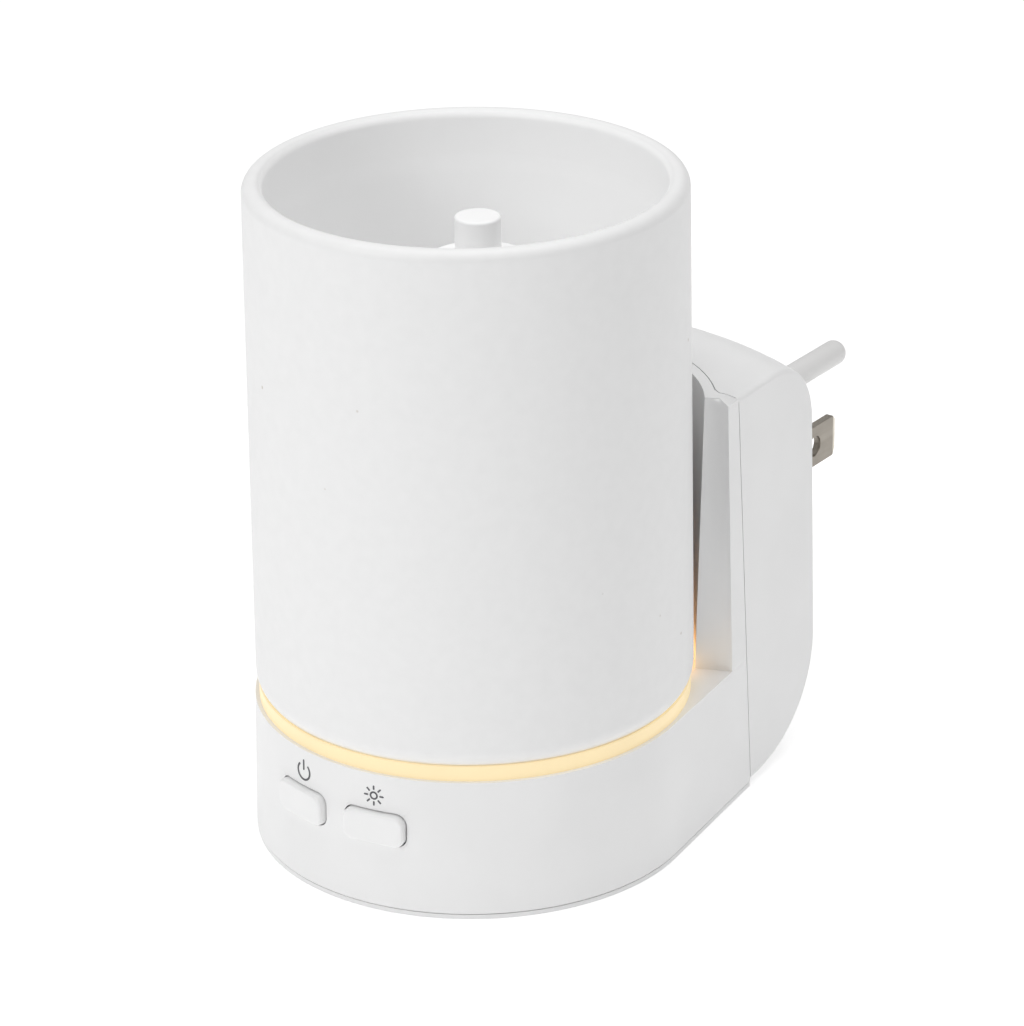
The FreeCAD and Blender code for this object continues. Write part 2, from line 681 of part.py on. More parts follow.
def add_bottom_cover():
    plate = base_form("cover_plate_form", size.cover_inset, ZERO, size.cover_plate, -size.cover_inset)
    rim_inset = size.wall + size.seam_gap
    rim = base_form("cover_rim_form", rim_inset, size.cover_plate - size.seam_gap,
                    cover_top, -size.cover_inset)
    bay = base_form("cover_bay", rim_inset + size.cover_rim_wall, size.cover_plate,
                    cover_top + size.overrun, -(size.cover_inset + size.cover_rim_wall))
    tray = less("cover_tray", fused("cover_solid", plate, rim), bay)
    supports = []
    for number, degrees in enumerate((90, 210, 330), 1):
        across = support_circle * round(math.cos(math.radians(degrees)), 6)
        along = support_circle * round(math.sin(math.radians(degrees)), 6)
        supports.append(cylinder(f"support_{number}", size.support_radius,
                                 carrier_low - size.cover_plate + size.slip_gap, across, along,
                                 size.cover_plate - size.slip_gap))
    holes = []
    for side, turn in (("left", -1), ("right", 1)):
        x = boss_x * turn
        supports.append(cylinder(f"cover_boss_{side}", size.boss_radius, size.cover_rim, x, boss_y,
                                 size.cover_plate))
        holes.append(cylinder(f"cover_way_{side}", size.screw_radius + size.slip_gap, size.overrun * 2, x,
                              boss_y, -size.overrun))
        holes.append(cylinder(f"cover_recess_{side}", size.screw_head_radius + size.slip_gap,
                              size.screw_head + size.slip_gap, x, boss_y, ZERO))
        supports.append(box(f"control_rib_{side}", *sorted_pair(size.control_half * turn,
                                                               (size.control_half - size.cover_rim) * turn),
                            -control_front, size.board_thickness - control_front,
                            size.cover_plate - size.slip_gap, control_low))
    vents = new_body("cover_vents")
    sketch = new_sketch(vents, "cover_vents_edge", "XY_Plane", -size.overrun)
    half = size.vent_length / 2
    slot = size.vent_width / 2
    for side in (-1, 1):
        for place_share in (0.5, 1.5):
            middle = size.vent_pitch * place_share * side
            rounded_rectangle(sketch, -half, half, middle - slot, middle + slot, size.vent_corner)
    pad(vents, sketch, size.overrun * 2)
    return less("bottom_cover", fused("cover_with_posts", tray, *supports), *holes, vents)


def sorted_pair(first, second):
    return (first, second) if first.value < second.value else (second, first)


# Cup: a turned profile, with a post a little beside its axis

def add_wax_cup():
    body = new_body("cup_form")
    sketch = new_sketch(body, "cup_profile", "XZ_Plane")
    top = cup_seat + size.cup_height
    floor = cup_seat + size.cup_floor
    inner = cup_rim_radius - size.cup_wall
    lower = inner - size.crease_step
    crease = top - size.crease_depth
    pillar_top = top - size.pillar_drop
    post_top = top - size.post_drop
    rim = size.rim_round
    foot = size.cup_foot_round
    bend = size.cup_inner_round
    hip = size.pillar_round
    points = [
        (pillar_bore_radius, cup_seat), (size.cup_foot_radius - foot, cup_seat),
        (size.cup_foot_radius, cup_seat + foot), (cup_rim_radius, top - rim),
        (cup_rim_radius - rim, top), (inner + rim, top), (inner, top - rim), (inner, crease),
        (lower, crease - size.crease_step), (lower, floor + bend), (lower - bend, floor),
        (size.pillar_foot_radius + hip, floor), (size.pillar_foot_radius, floor + hip),
        (size.pillar_radius, pillar_top - hip), (size.pillar_radius - hip, pillar_top),
        (ZERO, pillar_top), (ZERO, pillar_top - size.pillar_roof),
        (pillar_bore_radius - size.pillar_bore_taper, pillar_top - size.pillar_roof)]
    arcs = {1: (foot, 1), 3: (rim, 1), 5: (rim, 1), 9: (bend, -1), 11: (hip, -1), 13: (hip, 1)}
    outline(sketch, points, arcs)
    revolve(body, sketch)
    post_low = pillar_top - size.near
    post = cylinder("cup_post", size.post_radius, post_top - post_low, size.post_shift_x, size.post_shift_y, post_low)
    return fused("wax_cup", body, post)


# Light ring: its inner face follows the cup's rounded foot

def add_light_ring():
    body = new_body("light_ring")
    sketch = new_sketch(body, "ring_profile", "XZ_Plane")
    radius = size.cup_foot_round + size.fit_gap
    round_x = size.cup_foot_radius - size.cup_foot_round
    round_z = cup_seat + size.cup_foot_round
    shelf = cup_seat - size.fit_gap
    ring_top = round_z - radius.leg(ring_radius - round_x)
    points = [(ring_inner, guide_low), (guide_outer, guide_low),
              (guide_outer, size.deck_height), (ring_radius, size.deck_height),
              (ring_radius, ring_top), (round_x, shelf), (ring_inner, shelf)]
    outline(sketch, points, {4: (radius, -1)})
    revolve(body, sketch)
    return body


# Heater stack, from the plate down

def disc_body(label, radius, low, high):
    body = new_body(label)
    sketch = new_sketch(body, label + "_round", "XY_Plane", low)
    circle(sketch, ZERO, ZERO, radius)
    pad(body, sketch, high - low)
    return body


def add_heater_plate():
    body = new_body("heater_plate")
    sketch = new_sketch(body, "plate_profile", "XZ_Plane")
    nose = cup_seat + size.spigot_height
    edge = size.edge_round
    outline(sketch, [(ZERO, plate_low), (plate_radius, plate_low), (plate_radius, cup_seat - edge),
                     (plate_radius - edge, cup_seat), (size.spigot_radius, cup_seat),
                     (size.spigot_radius, nose - edge), (size.spigot_radius - edge, nose), (ZERO, nose)],
            {2: (edge, 1), 5: (edge, 1)})
    revolve(body, sketch)
    return body


def add_heating_stone():
    return disc_body("heating_stone", size.stone_radius, stone_low, plate_low)


def add_mica_disc():
    return disc_body("mica_disc", mica_radius, mica_low, stone_low)


def add_heater_carrier():
    body = new_body("heater_carrier")
    sketch = new_sketch(body, "heater_carrier_profile", "XZ_Plane")
    outer = carrier_radius
    inner = outer - size.carrier_wall
    shelf = led_board_low
    outline(sketch, [(ZERO, carrier_low), (outer, carrier_low), (outer, shelf - size.flange_thickness),
                     (flange_radius, shelf - size.flange_thickness), (flange_radius, shelf),
                     (outer, shelf), (outer, plate_low), (inner, plate_low),
                     (inner, carrier_top), (ZERO, carrier_top)])
    revolve(body, sketch)
    return body


def add_pressure_spring():
    """A bowed strip that presses the stone to the plate."""
    body = new_body("pressure_spring")
    sketch = new_sketch(body, "pressure_spring_bow", "XZ_Plane", -size.spring_width / 2)
    low = carrier_top
    top = mica_low
    strip = size.spring_strip
    span = size.spring_span
    rise = size.spring_rise
    under = rise - strip
    outer_radius = bow_radius(span, rise)
    inner_radius = bow_radius(span - strip, under)
    outline(sketch, [(span, low), (ZERO, top), (-span, low), (strip - span, low), (ZERO, top - strip),
                     (span - strip, low)],
            {0: (outer_radius, 1), 1: (outer_radius, 1), 3: (inner_radius, -1), 4: (inner_radius, -1)})
    pad(body, sketch, size.spring_width)
    return body


def bow_radius(half, rise):
    """The radius of an arc of half a width and a rise."""
    value = (half.value ** 2 + rise.value ** 2) / (2 * rise.value)
    return Size(value, f"(({half.text}) * ({half.text}) + ({rise.text}) * ({rise.text})) / (2 * ({rise.text}))")


def add_thermal_fuse():
    body = new_body("thermal_fuse")
    sketch = new_sketch(body, "thermal_fuse_end", "YZ_Plane", -size.fuse_length / 2)
    circle(sketch, fuse_back, plate_low - size.fuse_radius - size.slip_gap, size.fuse_radius)
    case = pad(body, sketch, size.fuse_length)
    round_edges(body, case, size.fuse_radius / 3, lambda e: True, "thermal_fuse_ends")
    return body


# Lights under the ring

def add_led_board():
    body = new_body("led_board")
    sketch = new_sketch(body, "led_board_edge", "XY_Plane", led_board_low)
    circle(sketch, ZERO, ZERO, flange_radius)
    circle(sketch, ZERO, ZERO, led_board_inner)
    pad(body, sketch, size.board_thickness)
    return body


def add_leds():
    body = new_body("leds")
    sketch = new_sketch(body, "led_case", "XY_Plane", led_low)
    half_length = size.led_length / 2
    half_width = size.led_width / 2
    rectangle(sketch, led_circle - half_width, led_circle + half_width, -half_length, half_length)
    first = pad(body, sketch, size.led_height)
    ring = body.newObject("PartDesign::PolarPattern", "led_ring")
    ring.Originals = [first]
    ring.Axis = (sketch, ["N_Axis"])
    ring.Angle = 360
    ring.Occurrences = LED_COUNT
    body.Tip = ring
    return body


# Buttons, their switches and the control board

def add_button(label, turn):
    """A cap with a retaining flange and a short plunger, made facing -Y and turned to its place."""
    body = new_body(label)
    cap = new_sketch(body, label + "_cap", "XZ_Plane", flange_back)
    button_outline(cap, ZERO)
    top = pad(body, cap, button_front - flange_back)
    face = size.near - button_front
    round_edges(body, top, size.button_edge, lambda e: e.BoundBox.YMax < face.value, label + "_edge")
    flange = new_sketch(body, label + "_flange", "XZ_Plane", flange_back)
    button_outline(flange, size.button_flange)
    pad(body, flange, size.button_flange_wall)
    plunger = new_sketch(body, label + "_plunger", "XZ_Plane", plunger_front)
    circle(plunger, ZERO, switch_height, size.plunger_radius)
    pad(body, plunger, flange_front - plunger_front)
    turn_body(body, turn)
    return body


def plunger_end(turn):
    """Where a plunger ends: x to its own side, and how far in front of the axis its slanted end reaches."""
    angle = size.button_angle - size.button_shift * turn
    turned = math.radians(angle.value)
    x = Size(plunger_front.value * math.sin(turned), f"({plunger_front.text} * sin({angle.text}))")
    y = Size(plunger_front.value * math.cos(turned), f"({plunger_front.text} * cos({angle.text}))")
    slant = size.plunger_radius
    slant = Size(slant.value * math.sin(turned), f"({slant.text} * sin({angle.text}))")
    return x, y - slant


def add_switch(label, turn):
    """The switch's case on the control board, with the bore that its stem slides in."""
    body = new_body(label)
    x, _ = plunger_end(turn)
    half = size.switch_size / 2
    case = new_sketch(body, label + "_case", "XZ_Plane", control_front)
    low = switch_height - half
    rounded_rectangle(case, x * turn - half, x * turn + half, low, low + size.switch_size, size.button_edge)
    pad(body, case, size.switch_depth)
    bore = new_sketch(body, label + "_bore", "XZ_Plane", switch_front)
    circle(bore, x * turn, switch_height, size.stem_radius + size.stem_gap)
    pocket(body, bore, size.stem_inside + size.button_travel + size.slip_gap * 2)
    return body


def add_stem(label, turn):
    x, y = plunger_end(turn)
    base = switch_front - size.stem_inside
    return cylinder(label, size.stem_radius, y - size.near - base, x * turn, -base, switch_height, "-Y")


def add_control_board():
    body = new_body("control_board")
    sketch = new_sketch(body, "control_board_edge", "XZ_Plane", control_back)
    rectangle(sketch, -size.control_half, size.control_half, control_low, control_top)
    pad(body, sketch, size.board_thickness)
    return body


# Electronics in the column

def add_power_board():
    body = new_body("power_board")
    sketch = new_sketch(body, "power_board_edge", "XZ_Plane", -board_front)
    rounded_rectangle(sketch, -board_half, board_half, board_low,
                      board_top, size.power_board_thick)
    for turn in (-1, 1):
        circle(sketch, board_post_x * turn, board_post_z, size.screw_radius + size.slip_gap)
    pad(body, sketch, size.power_board_thick, back=True)
    return body


def behind_board(label, left, right, low, high, depth, corner):
    """A component's case on the board's rear face."""
    body = new_body(label)
    sketch = new_sketch(body, label + "_case", "XZ_Plane", -board_back)
    rounded_rectangle(sketch, left, right, low, high, corner)
    pad(body, sketch, depth, back=True)
    return body


def add_transformer():
    return behind_board("transformer", transformer_left, transformer_right, transformer_top - size.transformer_height,
                        transformer_top, transformer_back - board_back, size.edge_round)


def add_driver_chip():
    half_width = size.chip_width / 2
    half_height = size.chip_height / 2
    return behind_board("driver_chip", chip_x - half_width, chip_x + half_width, chip_z - half_height,
                        chip_z + half_height, size.chip_depth, size.edge_round / 4)


def add_capacitors():
    places = (capacitor_x, capacitor_x - size.capacitor_pitch)
    return group("capacitors", [bar_y(f"capacitor_{number}", size.capacitor_radius, x, capacitor_z, board_back,
                                      capacitor_back) for number, x in enumerate(places, 1)])


def add_lead(label, left, end_y, end_z, start_y):
    """A flat lead that leaves the power board, drops behind the column's wall and runs forward."""
    body = new_body(label)
    sketch = new_sketch(body, label + "_run", "YZ_Plane", left)
    thick = size.lead_thickness
    back = lead_back
    low = end_z - thick / 2
    top = lead_top
    inner = size.lead_bend
    outer = inner + thick
    front = back - thick
    outline(sketch, [(end_y, low), (back - outer, low), (back, low + outer), (back, top - outer),
                     (back + inner, top - thick), (start_y, top - thick), (start_y, top), (back + inner, top),
                     (front, top - outer), (front, low + outer), (back - outer, low + thick),
                     (end_y, low + thick)],
            {1: (outer, 1), 3: (inner, -1), 7: (outer, 1), 9: (inner, -1)})
    pad(body, sketch, size.lead_width)
    return body


# Plug

def block_outline(sketch, grow):
    half = size.block_half + grow
    rounded_rectangle(sketch, plug_x - half, plug_x + half, block_bottom - grow, block_top + grow,
                      size.block_corner + grow)


def blade_places():
    half = size.blade_spacing / 2
    return ("neutral_blade", plug_x + half, size.neutral_width), ("hot_blade", plug_x - half, size.hot_width)


def add_plug_carrier():
    """A block that holds the blades and the pin, with a flange that seats against the rear shell's inside."""
    flange = new_body("carrier_flange")
    edge = new_sketch(flange, "carrier_flange_edge", "XZ_Plane", -back_depth)
    block_outline(edge, size.block_flange)
    pad(flange, edge, back_depth - block_front)
    seat = doc.addObject("Part::Common", "carrier_flange_seated")
    seat.Base = flange
    seat.Tool = rear_form("carrier_seat", size.wall + size.slip_gap, -size.overrun)
    block = new_body("carrier_block")
    face = new_sketch(block, "carrier_block_edge", "XZ_Plane", -plug_face)
    block_outline(face, ZERO)
    pad(block, face, plug_face - block_front)
    slots = new_body("carrier_slots")
    for label, x, width in blade_places():
        slot = new_sketch(slots, label + "_slot", "XZ_Plane", -(plug_face + size.overrun))
        half = size.blade_thickness / 2 + size.slip_gap
        tall = width / 2 + size.slip_gap
        rectangle(slot, x - half, x + half, blade_z - tall, blade_z + tall)
        pad(slots, slot, size.block_depth + size.overrun * 2)
    bore = bar_y("pin_bore", size.pin_radius + size.slip_gap, plug_x, pin_z,
                 block_front - size.overrun, plug_face + size.overrun)
    return less("plug_carrier", fused("carrier_solid", seat, block), slots, bore)


def add_blade(label, x, width):
    """A flat blade with a hole, cut corners and a bevelled tip; its tail reaches the power board."""
    body = new_body(label)
    sketch = new_sketch(body, label + "_side", "YZ_Plane", x - size.blade_thickness / 2)
    tip = plug_face + size.blade_length
    half = width / 2
    low = blade_z - half
    high = blade_z + half
    corner = size.blade_corner
    outline(sketch, [(board_back, low), (tip - corner, low), (tip, low + corner), (tip, high - corner),
                     (tip - corner, high), (board_back, high)], {1: (corner, 1), 3: (corner, 1)})
    circle(sketch, plug_face + size.blade_hole, blade_z, size.blade_hole_radius)
    bar = pad(body, sketch, size.blade_thickness)
    item = body.newObject("PartDesign::Chamfer", label + "_bevel")
    doc.recompute()
    start = tip - corner - size.near
    names = [f"Edge{i}" for i, edge in enumerate(bar.Shape.Edges, 1)
             if edge.BoundBox.YMin > start.value and edge.BoundBox.XLength < size.near.value]
    item.Base = (bar, names)
    bind(item, "Size", size.blade_bevel)
    return body


def add_stabiliser_pin():
    """A round plastic pin with a domed tip, a thinner root in the carrier and a flange behind it."""
    body = new_body("stabiliser_pin")
    body.Placement = FreeCAD.Placement(FreeCAD.Vector(plug_x.value, 0, 0),
                                       FreeCAD.Rotation(FreeCAD.Vector(1, 0, 0), -90))
    bind(body, "Placement.Base.x", plug_x)
    bind(body, "Placement.Base.z", pin_z)
    sketch = new_sketch(body, "pin_profile", "XZ_Plane")
    low = block_front - size.pin_flange
    tip = plug_face + size.pin_length
    radius = size.pin_radius
    root = radius - size.pin_relief_depth
    step = plug_face + size.pin_relief
    outline(sketch, [(ZERO, low), (size.pin_flange_radius, low), (size.pin_flange_radius, block_front),
                     (root, block_front), (root, step), (radius, step), (radius, tip - radius), (ZERO, tip)],
            {6: (radius, 1)})
    revolve(body, sketch)
    return body


# Screws

def screw(name, x, y, z, axis):
    """A pan-head screw whose head's outer face is at a place; the shank runs along the axis."""
    head = cylinder(name + "_head", size.screw_head_radius, size.screw_head, x, y, z, axis)
    shank = cylinder(name + "_shank", size.screw_radius, size.screw_length, x, y, z, axis)
    return fused(name, head, shank)


def add_screws():
    sides = (("left", -1), ("right", 1))
    cover = [screw(f"cover_screw_{side}", boss_x * turn, boss_y, size.slip_gap, "Z") for side, turn in sides]
    seat = rear_boss_seat + size.screw_head
    rear = [screw(f"rear_screw_{side}", rear_boss_x * turn, seat, rear_boss_z, "-Y") for side, turn in sides]
    front = board_front - size.screw_head
    board = [screw(f"board_screw_{side}", board_post_x * turn, front, board_post_z, "Y") for side, turn in sides]
    return [group("cover_screws", cover), group("rear_screws", rear), group("board_screws", board)]


def build():
    """Makes every sub-part and returns them."""
    carrier_back = carrier_radius.leg(size.lead_x)
    start = board_front - size.slip_gap
    parts = [add_wax_cup(), add_front_body(), add_rear_shell(), add_bottom_cover(), add_light_ring(),
             add_heater_plate(), add_heating_stone(), add_mica_disc(), add_pressure_spring(),
             add_heater_carrier(), add_thermal_fuse(), add_led_board(), add_leds(), add_control_board()]
    for name, turn in (("power", -1), ("light", 1)):
        parts += [add_button(f"{name}_button", turn), add_switch(f"{name}_switch", turn),
                  add_stem(f"{name}_switch_stem", turn)]
    parts += [add_power_board(), add_transformer(), add_capacitors(), add_driver_chip(),
              add_lead("heater_lead", size.lead_x, carrier_back + size.seam_gap, carrier_low + size.heater_lead_rise,
                       start),
              add_lead("control_lead", size.control_lead_x, size.slip_gap - control_back,
                       control_lead_z, start), add_plug_carrier()]
    parts += [add_blade(*place) for place in blade_places()]
    parts.append(add_stabiliser_pin())
    parts += add_screws()
    return parts


def write(parts):
    """Checks every object, and writes each sub-part to its own file."""
    doc.recompute()
    failed = [item.Name for item in doc.Objects if "Invalid" in item.State or "Error" in item.State]
    if failed:
        raise RuntimeError(f"failed objects: {failed}")
    for item in parts:
        if item.Shape.isNull() or not item.Shape.isValid():
            raise RuntimeError(f"{item.Label} has no valid shape")
    os.makedirs("parts", exist_ok=True)
    for item in parts:
        item.Shape.exportStep(f"parts/{item.Label}.step")
        print(item.Label, len(item.Shape.Solids), round(item.Shape.Volume, 1))


if __name__ == "__main__":
    write(build())
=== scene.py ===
import math

import bmesh
import bpy
from mathutils import Matrix, Vector


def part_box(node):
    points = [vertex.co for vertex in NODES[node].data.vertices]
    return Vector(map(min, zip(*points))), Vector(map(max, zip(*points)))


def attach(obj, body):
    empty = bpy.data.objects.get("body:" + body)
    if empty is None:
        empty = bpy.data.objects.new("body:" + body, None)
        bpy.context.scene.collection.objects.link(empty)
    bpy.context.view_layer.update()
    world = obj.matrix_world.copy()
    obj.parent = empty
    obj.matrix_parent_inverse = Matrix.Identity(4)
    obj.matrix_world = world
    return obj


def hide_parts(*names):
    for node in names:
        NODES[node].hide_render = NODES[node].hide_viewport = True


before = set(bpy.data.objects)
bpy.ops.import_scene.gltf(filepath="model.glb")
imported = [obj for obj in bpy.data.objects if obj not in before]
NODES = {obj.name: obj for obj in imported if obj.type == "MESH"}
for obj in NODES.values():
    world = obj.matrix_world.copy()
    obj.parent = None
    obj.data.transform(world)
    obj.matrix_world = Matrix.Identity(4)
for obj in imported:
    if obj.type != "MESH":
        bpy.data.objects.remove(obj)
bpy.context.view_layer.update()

bl_info = {
    "name": "Wax melt warmer",
    "version": (1, 0, 0),
    "blender": (4, 5, 0),
    "location": "3D View > Sidebar > Warmer",
    "description": "Builds a plug-in wax melt warmer piece by piece on its packed model",
    "category": "Add Mesh",
}

MM = 0.001

# Levels of the base's deck, of the cup and of what stands in it
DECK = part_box("light_ring")[0].z + 4.9 * MM
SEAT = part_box("wax_cup")[0].z
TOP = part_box("wax_cup")[1].z
CUP_FLOOR = SEAT + 5.4 * MM
PILLAR_TOP = TOP - 15.6 * MM
POST_TOP = TOP - 7.9 * MM

# The base's round side leans in: where it starts, its radius there, and what it loses per height
BASE_FOOT = 1.0 * MM
BASE_RADIUS = 39.3 * MM
BASE_LEAN = 0.65 / 24.7

# Where the front body's foot edges end, and the farthest corner of the buttons' openings
FOOT_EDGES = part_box("bottom_cover")[0].z + 3 * MM
BUTTONS_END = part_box("power_button")[1]

# The valley in a wing's front: its inner edge, its bottom and its outer edge, at the deck and near the top
WING_FOOT = [Vector(p) * MM for p in ((29.4, 25.69, 25.7), (32.6, 27.59, 25.7), (35.45, 28.39, 25.7))]
WING_TOP = [Vector(p) * MM for p in ((28.5, 29.92, 75.9), (30.7, 31.12, 75.9), (34.2, 28.52, 75.9))]

# A button's face
CAP_HALF_X = 5.75 * MM
CAP_HALF_Z = 2.9 * MM
CAP_CORNER = 1.8 * MM

# Plug
PIN_AXIS = sum(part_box("stabiliser_pin"), Vector()) / 2
PIN_DROP = Vector((0, 0, -0.8 * MM))
PIN_BORE_REACH = 2.8 * MM
BLADE_TIP = 1.4 * MM

# Screws
SCREW_HEAD = 2.2 * MM
SCREW_LENGTH = 8.0 * MM

# Lamps under the ring
LAMPS = 8
LAMP_CIRCLE = 32.4 * MM
LAMP_HALF_X = 0.8 * MM
LAMP_HALF_Y = 1.0 * MM

# Studio: each light has a name, a place, a size across and a power
FLOOR_HALF = 3.0
FLOOR_LIGHT = 0.38
WORLD_LIGHT = 0.32
STUDIO_LIGHTS = (("key", (-0.316, -1.074, 0.71), 0.5, 4.2), ("top", (0.05, 0.12, 1.2), 1.2, 9.8))
LIGHT_AIM = Vector((0, 0, 0.06))

# Camera: its turn about the object, its tilt and roll, its place before the turn, and its focal length
CAMERA_TURN = math.radians(35.4)
CAMERA_PITCH = 0.4156
CAMERA_ROLL = -0.0151
CAMERA_EYE = Vector((6.912, -681.202, 358.727)) * MM
FOCAL_PIXELS = 4305.22
FRAME_PIXELS = 1026
SENSOR = 36.0


# Sizes and colours that a user would change

class WarmerSizes(bpy.types.PropertyGroup):
    cup_rim_radius: bpy.props.FloatProperty(
        name="Cup rim radius", description="Outer radius of the cup at its rim", default=37.65 * MM,
        unit="LENGTH")
    cup_wall: bpy.props.FloatProperty(
        name="Cup wall", description="Thickness of the cup's wall", default=3.6 * MM, unit="LENGTH")
    cup_drop: bpy.props.FloatProperty(
        name="Cup drop", description="How far the rim stays below the cup's CAD solid", default=0.7 * MM,
        unit="LENGTH")
    rim_round: bpy.props.FloatProperty(
        name="Rim round", description="Round on the rim's outer edge", default=2.0 * MM, unit="LENGTH")
    pillar_radius: bpy.props.FloatProperty(
        name="Pillar radius", description="Radius of the cup's pillar at its top", default=9.8 * MM,
        unit="LENGTH")
    post_radius: bpy.props.FloatProperty(
        name="Post radius", description="Radius of the post on the pillar", default=3.95 * MM, unit="LENGTH")
    pillar_shift: bpy.props.FloatVectorProperty(
        name="Pillar shift", description="How far the pillar stands from the cup's axis", size=2,
        default=(1.55 * MM, 1.1 * MM), subtype="XYZ", unit="LENGTH")
    edge_round: bpy.props.FloatProperty(
        name="Edge round", description="Round asked for on the housing's edges, which the clamp narrows",
        default=0.45 * MM, unit="LENGTH")
    sign_height: bpy.props.FloatProperty(
        name="Sign height", description="Height of the signs above the base's underside", default=21.65 * MM,
        unit="LENGTH")
    power_sign_size: bpy.props.FloatProperty(
        name="Power sign size", description="Size across of the power sign", default=3.13 * MM, unit="LENGTH")
    light_sign_size: bpy.props.FloatProperty(
        name="Light sign size", description="Size across of the light sign", default=2.8 * MM, unit="LENGTH")
    button_angle: bpy.props.FloatProperty(
        name="Button angle", description="How far round the base a button stands from the pair's middle",
        default=math.radians(11.75), subtype="ANGLE")
    button_shift: bpy.props.FloatProperty(
        name="Button shift", description="How far round the base the pair's middle stands to the left",
        default=math.radians(2.65), subtype="ANGLE")


class WarmerFinish(bpy.types.PropertyGroup):
    ceramic: bpy.props.FloatVectorProperty(
        name="Ceramic", description="Colour of the cup", default=(0.86, 0.86, 0.86), subtype="COLOR")
    # Painted light: the cup's inside gets a lighter colour and a glow of its own, standing in for the light
    # that falls there and comes through the wall.
    painted_inside_light: bpy.props.FloatVectorProperty(
        name="Glaze", description="Colour of the cup's inside", default=(0.95, 0.95, 0.95), subtype="COLOR")
    painted_inside_glow: bpy.props.FloatProperty(
        name="Glaze light", description="Strength of the light that comes through the cup's wall",
        default=0.065)
    housing: bpy.props.FloatVectorProperty(
        name="Housing", description="Colour of the housing", default=(0.86, 0.86, 0.86), subtype="COLOR")
    glow: bpy.props.FloatVectorProperty(
        name="Glow", description="Colour of the light in the ring", default=(1.0, 0.80, 0.46),
        subtype="COLOR")
    glow_strength: bpy.props.FloatProperty(
        name="Glow strength", description="Strength of the light in the ring", default=0.55)
    spill: bpy.props.FloatVectorProperty(
        name="Spill", description="Colour of the light that falls on the column", default=(1.0, 0.50, 0.18),
        subtype="COLOR")
    spill_strength: bpy.props.FloatProperty(
        name="Spill strength", description="Strength of the ring's light beside the column", default=2.4)
    sign: bpy.props.FloatVectorProperty(
        name="Sign", description="Colour of the printed signs", default=(0.10, 0.10, 0.11), subtype="COLOR")


# Shapes

def rounded(corners, closed=True, steps=8):
    """The corners (x, y, radius) joined by straight runs and rounds, as a list of points."""
    points = []
    count = len(corners)
    for i, (x, y, radius) in enumerate(corners):
        here = Vector((x, y))
        if not radius or (not closed and i in (0, count - 1)):
            points.append(here)
            continue
        before = (Vector(corners[i - 1][:2]) - here).normalized()
        after = (Vector(corners[(i + 1) % count][:2]) - here).normalized()
        half = before.angle(after) / 2
        centre = here + (before + after).normalized() * (radius / math.sin(half))
        start = here + before * (radius / math.tan(half)) - centre
        end = here + after * (radius / math.tan(half)) - centre
        turn = start.angle_signed(end)
        for k in range(steps + 1):
            points.append(centre + Matrix.Rotation(-turn * k / steps, 2) @ start)
    return points


def rounded_box(half_x, half_y, corner, steps):
    """The outline of a rectangle with round corners."""
    corners = [(half_x, -half_y), (half_x, half_y), (-half_x, half_y), (-half_x, -half_y)]
    return rounded([(x, y, corner) for x, y in corners], steps=steps)


def new_piece(name, mesh):
    piece = bpy.data.objects.new(name, mesh)
    bpy.context.scene.collection.objects.link(piece)
    return piece


def as_mesh(name, bm):
    """Writes the form to a new mesh and frees it."""
    mesh = bpy.data.meshes.new(name)
    bm.to_mesh(mesh)
    bm.free()
    return mesh


def from_bmesh(name, bm):
    """Merges doubles, turns the faces outwards and makes the piece."""
    bmesh.ops.remove_doubles(bm, verts=bm.verts, dist=1e-7)
    bmesh.ops.recalc_face_normals(bm, faces=bm.faces)
    return new_piece(name, as_mesh(name, bm))


def turned(name, profile, steps=192):
    """A turned form: the closed profile (radius, height) swept about the upright axis."""
    bm = bmesh.new()
    rings = []
    for radius, z in profile:
        if radius < 1e-7:
            rings.append([bm.verts.new((0, 0, z))])
            continue
        angles = [math.tau * k / steps for k in range(steps)]
        rings.append([bm.verts.new((radius * math.cos(a), radius * math.sin(a), z)) for a in angles])
    for low, high in zip(rings, rings[1:] + rings[:1]):
        if len(low) == 1 and len(high) == 1:
            continue
        for k in range(steps):
            n = k + 1
            corners = [low[k % len(low)], low[n % len(low)], high[n % len(high)], high[k % len(high)]]
            bm.faces.new([v for i, v in enumerate(corners) if v not in corners[:i]])
    return from_bmesh(name, bm)


def skin(name, rings):
    """A closed form through rings of equally many points."""
    bm = bmesh.new()
    loops = [[bm.verts.new(p) for p in ring] for ring in rings]
    for low, high in zip(loops, loops[1:]):
        for k in range(len(low)):
            bm.faces.new((low[k - 1], low[k], high[k], high[k - 1]))
    bm.faces.new(loops[0])
    bm.faces.new(loops[-1])
    return from_bmesh(name, bm)


def applied(piece):
    """Makes what the modifiers give the piece's own mesh."""
    graph = bpy.context.evaluated_depsgraph_get()
    mesh = bpy.data.meshes.new_from_object(piece.evaluated_get(graph))
    piece.modifiers.clear()
    piece.data = mesh
    return piece


def cut(piece, name, bm):
    """Takes a form out of the piece."""
    tool = from_bmesh(name, bm)
    modifier = piece.modifiers.new(name, "BOOLEAN")
    modifier.operation = "DIFFERENCE"
    modifier.solver = "EXACT"
    modifier.object = tool
    applied(piece)
    bpy.data.objects.remove(tool)


